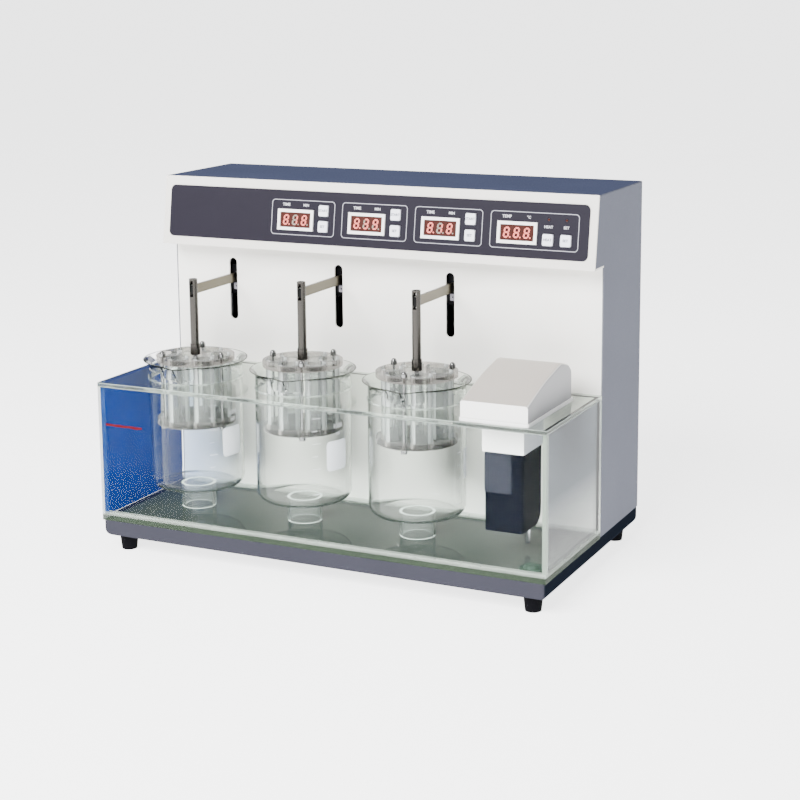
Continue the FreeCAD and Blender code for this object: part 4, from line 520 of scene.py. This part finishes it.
def wire(bm, points, radius, steps):
    """Closed round wire along a line of points in millimetres."""
    loops = []
    points = [Vector(point) for point in points]
    for i, point in enumerate(points):
        ahead = (points[min(i + 1, len(points) - 1)] - points[max(i - 1, 0)]).normalized()
        guide = Vector((0, 0, 1)) if abs(ahead.z) < 0.9 else Vector((1, 0, 0))
        side = ahead.cross(guide).normalized()
        top = side.cross(ahead)
        turns = [math.tau * step / steps for step in range(steps)]
        loops.append([bm.verts.new((point + side * radius * math.cos(turn)
                                    + top * radius * math.sin(turn)) * MM) for turn in turns])
    skin(bm, loops)


def turned(bm, profile, centre, steps):
    """Closed solid turned about y from (radius, height) points; its ends meet the axis."""
    def place(radius, height, angle):
        local = Vector((radius * math.cos(angle), height, radius * math.sin(angle)))
        return (Vector(centre) + local) * MM

    loops = [[bm.verts.new(place(radius, height, math.tau * step / steps))
              for step in range(steps if radius else 1)] for radius, height in profile]
    for low, high in zip(loops, loops[1:]):
        for i in range(steps):
            j = (i + 1) % steps
            corners = (low[i % len(low)], low[j % len(low)],
                       high[j % len(high)], high[i % len(high)])
            bm.faces.new(list(dict.fromkeys(corners)))


def circle(x, z, radius, steps):
    turns = [math.tau * step / steps for step in range(steps)]
    return [(x + radius * math.cos(turn), z + radius * math.sin(turn)) for turn in turns]


def rounded(left, low, width, height, radius, steps=5):
    """Outline of a rectangle with rounded corners."""
    right, high = left + width - radius, low + height - radius
    left, low = left + radius, low + radius
    points = []
    for x, z, start in ((right, low, -90), (right, high, 0), (left, high, 90), (left, low, 180)):
        for step in range(steps + 1):
            angle = math.radians(start + 90.0 * step / steps)
            points.append((x + radius * math.cos(angle), z + radius * math.sin(angle)))
    return points


def on_fascia(face):
    """Places on a face of the leaning fascia: along, up the slope, and into it."""
    def where(x, z, depth):
        into = face + depth
        y = FASCIA_FOOT_Y + into * math.cos(FASCIA_LEAN) + z * math.sin(FASCIA_LEAN)
        up = FASCIA_FOOT_Z - into * math.sin(FASCIA_LEAN) + z * math.cos(FASCIA_LEAN)
        return Vector((x, y, up)) * MM
    return where


def upright(y):
    """Places for a plane that faces the front at that depth."""
    return lambda x, z, depth: Vector((x, y + depth, z)) * MM


def on_beaker(station, turn, lift=0.0):
    """Places on a beaker's wall: s runs round it from an angle in degrees, depth goes inward."""
    def where(s, z, depth):
        angle = math.radians(turn) + s / BEAKER_RADIUS
        reach = BEAKER_RADIUS + lift - depth
        return Vector((STATION_X[station] + reach * math.cos(angle),
                       STATION_Y + reach * math.sin(angle), z)) * MM
    return where


def lettering(name, words, where, material, body):
    """Thin raised lettering: words is a list of (text, size, x, z) and x, z is its middle."""
    bm = bmesh.new()
    for text, size, x, z in words:
        curve = bpy.data.curves.new(name, "FONT")
        curve.body = text
        curve.size = size
        curve.align_x = "CENTER"
        curve.align_y = "CENTER"
        curve.resolution_u = 2
        curve.offset = 0.02 * size
        curve.extrude = LETTER_PROUD / 2
        holder = bpy.data.objects.new(name, curve)
        bpy.context.scene.collection.objects.link(holder)
        bpy.context.view_layer.update()
        flat = bpy.data.meshes.new_from_object(holder.evaluated_get(
            bpy.context.evaluated_depsgraph_get()))
        for vertex in flat.vertices:
            u, v, w = vertex.co
            vertex.co = where(x + u, z + v, -LETTER_PROUD / 2 - w)
        bm.from_mesh(flat)
        bpy.data.objects.remove(holder)
        bpy.data.curves.remove(curve)
        bpy.data.meshes.remove(flat)
    bmesh.ops.remove_doubles(bm, verts=bm.verts, dist=1e-7)
    as_piece(name, bm, material, body)


# Print and digits of the control overlay

LABEL_HEIGHT, LABEL_SHIFT, KEY_LABEL_HEIGHT = 52.3, 12.5, 43.2
TITLE_SIZE, LABEL_SIZE, LEGEND_SIZE = 4.4, 4.0, 3.8
SEGMENTS = {"8": "abcdefg", "1": "bc", "3": "abcdg", "9": "abcdfg"}
READINGS = (("8.", "1", "8"), ("8.", "3", "9"), ("8.", "1", "8"), ("8.", "8.", "8."))
DIGIT_WIDTH, DIGIT_HEIGHT, STROKE, SEGMENT_GAP = 6.6, 11.6, 1.7, 0.22
DIGIT_PITCH, DIGIT_SHIFT, DIGIT_SLANT = 11.4, -0.6, math.tan(math.radians(8.0))
DOT_RADIUS, DOT_CLEARANCE = 0.85, 0.9


def group_outlines():
    """Pale outlines of the four control groups."""
    bm = bmesh.new()
    for left, width in zip(GROUP_LEFT, GROUP_WIDTH):
        outer = rounded(left, GROUP_LOW, width, GROUP_HEIGHT, GROUP_CORNER)
        inner = rounded(left + GROUP_LINE, GROUP_LOW + GROUP_LINE, width - 2 * GROUP_LINE,
                        GROUP_HEIGHT - 2 * GROUP_LINE, GROUP_CORNER - GROUP_LINE)
        ring(bm, outer, inner, LINE_DEPTH, on_fascia(FILM_FACE))
    as_piece("group_outlines", bm, LINE_INK, ROOT)


def overlay_labels():
    """Words over the displays and over the bath's two keys."""
    words = []
    for number, left in enumerate(GROUP_LEFT):
        middle = left + DISPLAY_OFFSET
        title, unit = ("TIME", "MIN") if number < 3 else ("TEMP", "°C")
        words += [(title, TITLE_SIZE, middle - LABEL_SHIFT, LABEL_HEIGHT),
                  (unit, LABEL_SIZE, middle + LABEL_SHIFT, LABEL_HEIGHT)]
    for word, column in zip(("HEAT", "SET"), KEY_COLUMNS):
        words.append((word, LABEL_SIZE, GROUP_LEFT[3] + column, KEY_LABEL_HEIGHT))
    lettering("overlay_labels", words, on_fascia(FILM_FACE), INK, ROOT)


def segment_outline(letter):
    """Outline of one display segment about the middle of its digit."""
    half = STROKE / 2
    wide, high = DIGIT_WIDTH / 2 - half, DIGIT_HEIGHT / 2 - half
    spans = {"a": ((-wide, high), (wide, high)), "b": ((wide, 0), (wide, high)),
             "c": ((wide, -high), (wide, 0)), "d": ((-wide, -high), (wide, -high)),
             "e": ((-wide, -high), (-wide, 0)), "f": ((-wide, 0), (-wide, high)),
             "g": ((-wide, 0), (wide, 0))}
    (x0, z0), (x1, z1) = spans[letter]
    if z0 == z1:
        x0, x1 = x0 + SEGMENT_GAP, x1 - SEGMENT_GAP
        return [(x0, z0), (x0 + half, z0 - half), (x1 - half, z0 - half), (x1, z0),
                (x1 - half, z0 + half), (x0 + half, z0 + half)]
    z0, z1 = z0 + SEGMENT_GAP, z1 - SEGMENT_GAP
    return [(x0, z0), (x0 + half, z0 + half), (x0 + half, z1 - half), (x0, z1),
            (x0 - half, z1 - half), (x0 - half, z0 + half)]


def display_digits():
    """Slanted seven-segment figures, with the segments that glow apart from those that don't."""
    lit, unlit = bmesh.new(), bmesh.new()
    face = on_fascia(DISPLAY_FACE)
    for left, reading in zip(GROUP_LEFT, READINGS):
        for place, figure in enumerate(reading):
            middle = left + DISPLAY_OFFSET + (place - 1) * DIGIT_PITCH + DIGIT_SHIFT
            for letter in "abcdefg":
                outline = [(middle + x + z * DIGIT_SLANT, DISPLAY_HEIGHT + z)
                           for x, z in segment_outline(letter)]
                prism(lit if letter in SEGMENTS[figure[0]] else unlit, outline, DIGIT_DEPTH, face)
            dot = circle(middle + DIGIT_WIDTH / 2 + DOT_CLEARANCE,
                         DISPLAY_HEIGHT - DIGIT_HEIGHT / 2 + DOT_CLEARANCE, DOT_RADIUS, 10)
            prism(lit if figure.endswith(".") else unlit, dot, DIGIT_DEPTH, face)
    as_piece("lit_segments", lit, GLOW, ROOT)
    as_piece("unlit_segments", unlit, UNLIT, ROOT)


def key_legends():
    """One word on each key, which it rides on."""
    rows = [(f"timer_{number + 1}_{kind}_key", kind.upper(), GROUP_LEFT[number] + KEY_COLUMNS[0], z)
            for number in range(3)
            for kind, z in (("start", START_KEY_HEIGHT), ("set", SET_KEY_HEIGHT))]
    rows += [(f"bath_{word.lower()}_key", word, GROUP_LEFT[3] + column, SET_KEY_HEIGHT)
             for word, column in zip(("HEAT", "SET"), KEY_COLUMNS)]
    for key, word, x, z in rows:
        lettering(f"{key}_legend", [(word, LEGEND_SIZE, x, z)], on_fascia(KEY_FACE), GREY_INK,
                  key)


group_outlines()
overlay_labels()
display_digits()
key_legends()


# Lifting arms

CLIP_LEFT, CLIP_DROP, CLIP_WIDTH, CLIP_HEIGHT, CLIP_CORNER = -1.2, 9.0, 5.6, 7.6, 0.8
EYE_LEFT, EYE_DROP, EYE_SIZE, EYE_CORNER = 0.6, 6.2, 2.0, 0.99


def arm_clips():
    """Small clips with a screw hole that hold each arm's foot on its block, seen in the slot."""
    for number, x_mid in enumerate(STATION_X, 1):
        arm_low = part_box(f"lift_arm_{number}")[0].z / MM
        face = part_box(f"slide_block_{number}")[0].y / MM
        bm = bmesh.new()
        ring(bm, rounded(x_mid + CLIP_LEFT, arm_low - CLIP_DROP, CLIP_WIDTH, CLIP_HEIGHT,
                         CLIP_CORNER),
             rounded(x_mid + EYE_LEFT, arm_low - EYE_DROP, EYE_SIZE, EYE_SIZE, EYE_CORNER),
             CLIP_DEPTH, upright(face))
        as_piece(f"arm_clip_{number}", bm, CLIP, f"carriage_{number}")


arm_clips()


# Tank and beakers

LEVEL_LEFT, LEVEL_HEIGHT, LEVEL_STEP, LEVEL_FALL, LEVEL_THICK = -257.0, 148.4, 4.0, 0.04, 2.8
BEAKER_RADIUS = 52.5
PRINT_TURN = (-10.0, -18.0, 22.0)
PATCH_LEFT, PATCH_LOW, PATCH_WIDTH, PATCH_HEIGHT, PATCH_CORNER = -14.0, 108.0, 29.0, 33.0, 3.5
TICK_LEFT, TICK_LOW, TICK_PITCH, TICK_HEIGHT = -30.0, 84.0, 14.0, 0.7
TICK_LONG, TICK_SHORT = 9.0, 5.5
VOLUME_WORDS = [("1000", 7.0, 1.5, 157.0), ("ml", 6.0, 1.5, 149.0)]
FIGURE_LIFT = 0.03
RIM_POINTS, RIM_LEVELS, RIM_LEVEL_PITCH, RIM_TOP, RIM_WIRE = 120, 32, 0.4, 0.2, 0.42
LOOK_FROM, LOOK_REACH = 100.0, 60.0


def level_line():
    """Hand-drawn red fill line on the front wall."""
    bm = bmesh.new()
    top = [(LEVEL_LEFT + LEVEL_STEP * i, LEVEL_HEIGHT - LEVEL_FALL * i + 0.25 * math.sin(i * 1.7))
           for i in range(13)]
    low = [(x, z - LEVEL_THICK - 0.3 * math.cos(i * 1.3)) for i, (x, z) in enumerate(top)][::-1]
    prism(bm, top + low, LINE_DEPTH, upright(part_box("tank_cover")[0].y / MM))
    as_piece("level_line", bm, RED_INK, ROOT)


def beaker_marks():
    """White patches to write on, the level ticks and plain volume figures."""
    patches, ticks = bmesh.new(), bmesh.new()
    patch = rounded(PATCH_LEFT, PATCH_LOW, PATCH_WIDTH, PATCH_HEIGHT, PATCH_CORNER)
    for station, turn in enumerate(PRINT_TURN):
        wall = on_beaker(station, turn)
        curved_prism(patches, patch, PATCH_DEPTH, wall, 14)
        for step in range(7):
            right = TICK_LEFT + (TICK_SHORT if step % 2 else TICK_LONG)
            low = TICK_LOW + TICK_PITCH * step
            high = low + TICK_HEIGHT
            curved_prism(ticks, [(TICK_LEFT, low), (right, low), (right, high), (TICK_LEFT, high)],
                         TICK_DEPTH, wall, 4)
    as_piece("writing_patches", patches, PATCH, ROOT)
    as_piece("volume_ticks", ticks, INK, ROOT)
    for station, turn in enumerate(PRINT_TURN):
        lettering(f"volume_figures_{station + 1}", VOLUME_WORDS,
                  on_beaker(station, turn, FIGURE_LIFT), INK, ROOT)


def outermost(glass, x_mid, top, angle):
    """Place on a beaker's flare that stands out farthest in one direction, in millimetres."""
    out = Vector((math.cos(angle), math.sin(angle), 0))
    hits = []
    for level in range(RIM_LEVELS):
        eye = Vector((x_mid, STATION_Y, top - RIM_TOP - RIM_LEVEL_PITCH * level)) + out * LOOK_FROM
        place, _, _, distance = glass.ray_cast(eye * MM, -out, LOOK_REACH * MM)
        if place:
            hits.append((round(distance, 6), place))
    return min(hits, key=lambda hit: hit[0])[1] / MM


def beaker_rims():
    """Rounded line of darker glass along each beaker's fire-polished rim and spout."""
    bm = bmesh.new()
    for number, x_mid in enumerate(STATION_X, 1):
        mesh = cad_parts[f"beaker_{number}"].data
        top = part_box(f"beaker_{number}")[1].z / MM
        glass = BVHTree.FromPolygons([corner.co for corner in mesh.vertices],
                                     [face.vertices[:] for face in mesh.polygons])
        found = [outermost(glass, x_mid, top, math.tau * step / RIM_POINTS)
                 for step in range(RIM_POINTS)]
        eased = [(found[i - 1] + found[i] * 2 + found[(i + 1) % RIM_POINTS]) / 4
                 for i in range(RIM_POINTS)]
        wire(bm, eased + eased[:1], RIM_WIRE, 6)
    as_piece("beaker_rims", bm, RIM, ROOT, smooth=True)


level_line()
beaker_marks()
beaker_rims()


# Wire screens of the baskets

SCREEN_PITCH, SCREEN_WIRE, SCREEN_WEAVE, SCREEN_DROP, SCREEN_INSET = 3.2, 0.22, 0.16, 0.55, 3.0


def screen_wire(across, reach, upward):
    """Points of one woven wire about the screen's middle; upward is 1 where it starts high."""
    offset = across * SCREEN_PITCH
    half = math.sqrt(max(reach ** 2 - offset ** 2, 1.0))
    knots = max(2, int(half * 2 / SCREEN_PITCH))
    return [(-half + 2 * half * i / knots, offset,
             SCREEN_WEAVE * (1 if (i + across + upward) % 2 else -1)) for i in range(knots + 1)]


def basket_grids():
    """Woven wire discs under the lower plates of the baskets."""
    for number, x_mid in enumerate(STATION_X, 1):
        low, high = (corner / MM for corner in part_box(f"basket_plates_{number}"))
        middle_y, level = (low.y + high.y) / 2, low.z - SCREEN_DROP
        reach = (high.x - low.x) / 2 - SCREEN_INSET
        count = int(reach // SCREEN_PITCH)
        bm = bmesh.new()
        for across in range(-count, count + 1):
            for crossing in (False, True):
                points = [(x_mid + (offset if crossing else run),
                           middle_y + (run if crossing else offset), level + lift)
                          for run, offset, lift in screen_wire(across, reach, crossing)]
                wire(bm, points, SCREEN_WIRE, 4)
        as_piece(f"basket_grid_{number}", bm, MESH_STEEL, f"basket_{number}")


basket_grids()


# Heater unit

VIEW_LEFT, VIEW_DROP, VIEW_WIDTH, VIEW_HEIGHT, VIEW_CORNER = 0.6, 43.0, 29.5, 42.0, 1.2


def filter_window():
    """Lighter window in the front of the filter box."""
    low, high = (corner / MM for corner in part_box("filter_box"))
    bm = bmesh.new()
    outline = rounded(low.x + VIEW_LEFT, high.z - VIEW_DROP, VIEW_WIDTH, VIEW_HEIGHT,
                      VIEW_CORNER, 3)
    prism(bm, outline, WINDOW_DEPTH, upright(low.y))
    as_piece("filter_window", bm, SMOKED_WINDOW, ROOT)


filter_window()


# Rear panel

SCREW_RADIUS, SCREW_RISE, SCREW_INSET, SCREW_SEAT = 3.0, 1.5, 9.0, 0.02


def rear_screws():
    """Six low domed screws, each with a round recess for its driver."""
    profile = [(share * SCREW_RADIUS, height * SCREW_RISE) for share, height in (
        (0, 0), (1, 0), (1, 0.35), (0.75, 0.8), (0.35, 1), (0.3, 0.55), (0, 0.55))]
    low, high = (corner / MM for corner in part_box("rear_panel"))
    bm = bmesh.new()
    for x in (low.x + SCREW_INSET, (low.x + high.x) / 2, high.x - SCREW_INSET):
        for z in (low.z + SCREW_INSET, high.z - SCREW_INSET):
            turned(bm, profile, (x, high.y + SCREW_SEAT, z), 20)
    as_piece("rear_screws", bm, FITTING, ROOT, smooth=True)


rear_screws()


# Floor, light and camera

FLOOR_CELLS, FLOOR_CELL = 4, 150.0
FLOOR_GLOW = 3.0
SKY_COLOUR, SKY_STRENGTH = (0.93, 0.96, 1.0, 1.0), 0.3
LIGHT_AIM = (0, 0, 0.2)
SOFT_LIGHTS = (  # name, place and size in metres, watts
    ("front_key", (-0.4, -2.3, 1.9), (2.2, 1.4), 270.0),
    ("right_fill", (2.4, -0.2, 0.8), (1.6, 1.4), 8.0),
    ("top_soft", (-0.2, 0.1, 2.4), (2.0, 2.0), 18.0),
)

# The photograph's viewpoint, found by fitting the model's known points to it: the eye in
# millimetres, the turns in degrees, and the focal length and optical axis in pixels of an image
# that is IMAGE pixels wide and high.
IMAGE = 800
EYE = (867.711, -1711.671, 631.392)
YAW, PITCH, ROLL = 25.676, -10.49, -0.513
FOCAL, AXIS_X, AXIS_Y = 1759.981, 406.471, 303.977


def pale_table():
    """Plain, faintly mottled white that the studio light washes out."""
    finish = Finish("pale_table")
    colour = finish.mix(finish.spread(finish.noise(3.0, 2.0), EVEN, FULL),
                        (0.86, 0.86, 0.86, 1), (0.88, 0.88, 0.88, 1))
    shader = finish.add("ShaderNodeBsdfPrincipled", {
        "Base Color": colour, "Roughness": 0.8, "Specular IOR Level": 0.1,
        "Emission Color": (1, 1, 1, 1), "Emission Strength": FLOOR_GLOW})
    return finish.shade(shader.outputs[0])


def stage_floor():
    bm = bmesh.new()
    edges = [(step - FLOOR_CELLS / 2) * FLOOR_CELL for step in range(FLOOR_CELLS + 1)]
    rows = [[bm.verts.new((x, y, 0.0)) for y in edges] for x in edges]
    for near, far in zip(rows, rows[1:]):
        for j in range(FLOOR_CELLS):
            bm.faces.new((near[j], far[j], far[j + 1], near[j + 1]))
    mesh = mesh_from("pale_floor", bm)
    mesh.materials.append(pale_table())
    item = bpy.data.objects.new("pale_floor", mesh)
    bpy.context.scene.collection.objects.link(item)


def lights():
    world = bpy.data.worlds.new("soft_studio")
    bpy.context.scene.world = world
    world.use_nodes = True
    colour, strength = world.node_tree.nodes["Background"].inputs[:2]
    colour.default_value = SKY_COLOUR
    strength.default_value = SKY_STRENGTH
    for name, place, size, watts in SOFT_LIGHTS:
        data = bpy.data.lights.new(name, "AREA")
        data.shape = "RECTANGLE"
        data.size, data.size_y = size
        data.energy = watts
        item = bpy.data.objects.new(name, data)
        bpy.context.scene.collection.objects.link(item)
        item.location = place
        aim = Vector(LIGHT_AIM) - Vector(place)
        item.rotation_euler = aim.to_track_quat("-Z", "Y").to_euler()


def camera():
    yaw, pitch, roll = (math.radians(angle) for angle in (YAW, PITCH, ROLL))
    ahead = Vector((-math.sin(yaw) * math.cos(pitch), math.cos(yaw) * math.cos(pitch),
                    math.sin(pitch)))
    level = Vector((math.cos(yaw), math.sin(yaw), 0))
    over = level.cross(ahead)
    right = level * math.cos(roll) + over * math.sin(roll)
    up = over * math.cos(roll) - level * math.sin(roll)
    data = bpy.data.cameras.new("photo_camera")
    data.sensor_width = 36.0
    data.sensor_fit = "HORIZONTAL"
    data.lens = data.sensor_width * FOCAL / IMAGE
    data.shift_x = (IMAGE / 2 - AXIS_X) / IMAGE
    data.shift_y = (AXIS_Y - IMAGE / 2) / IMAGE
    data.clip_start, data.clip_end = 0.05, 900.0
    item = bpy.data.objects.new("photo_camera", data)
    bpy.context.scene.collection.objects.link(item)
    turn = Matrix((right, up, -ahead)).transposed().to_4x4()
    item.matrix_world = Matrix.Translation(Vector(EYE) * MM) @ turn
    bpy.context.scene.camera = item


stage_floor()
lights()
camera()
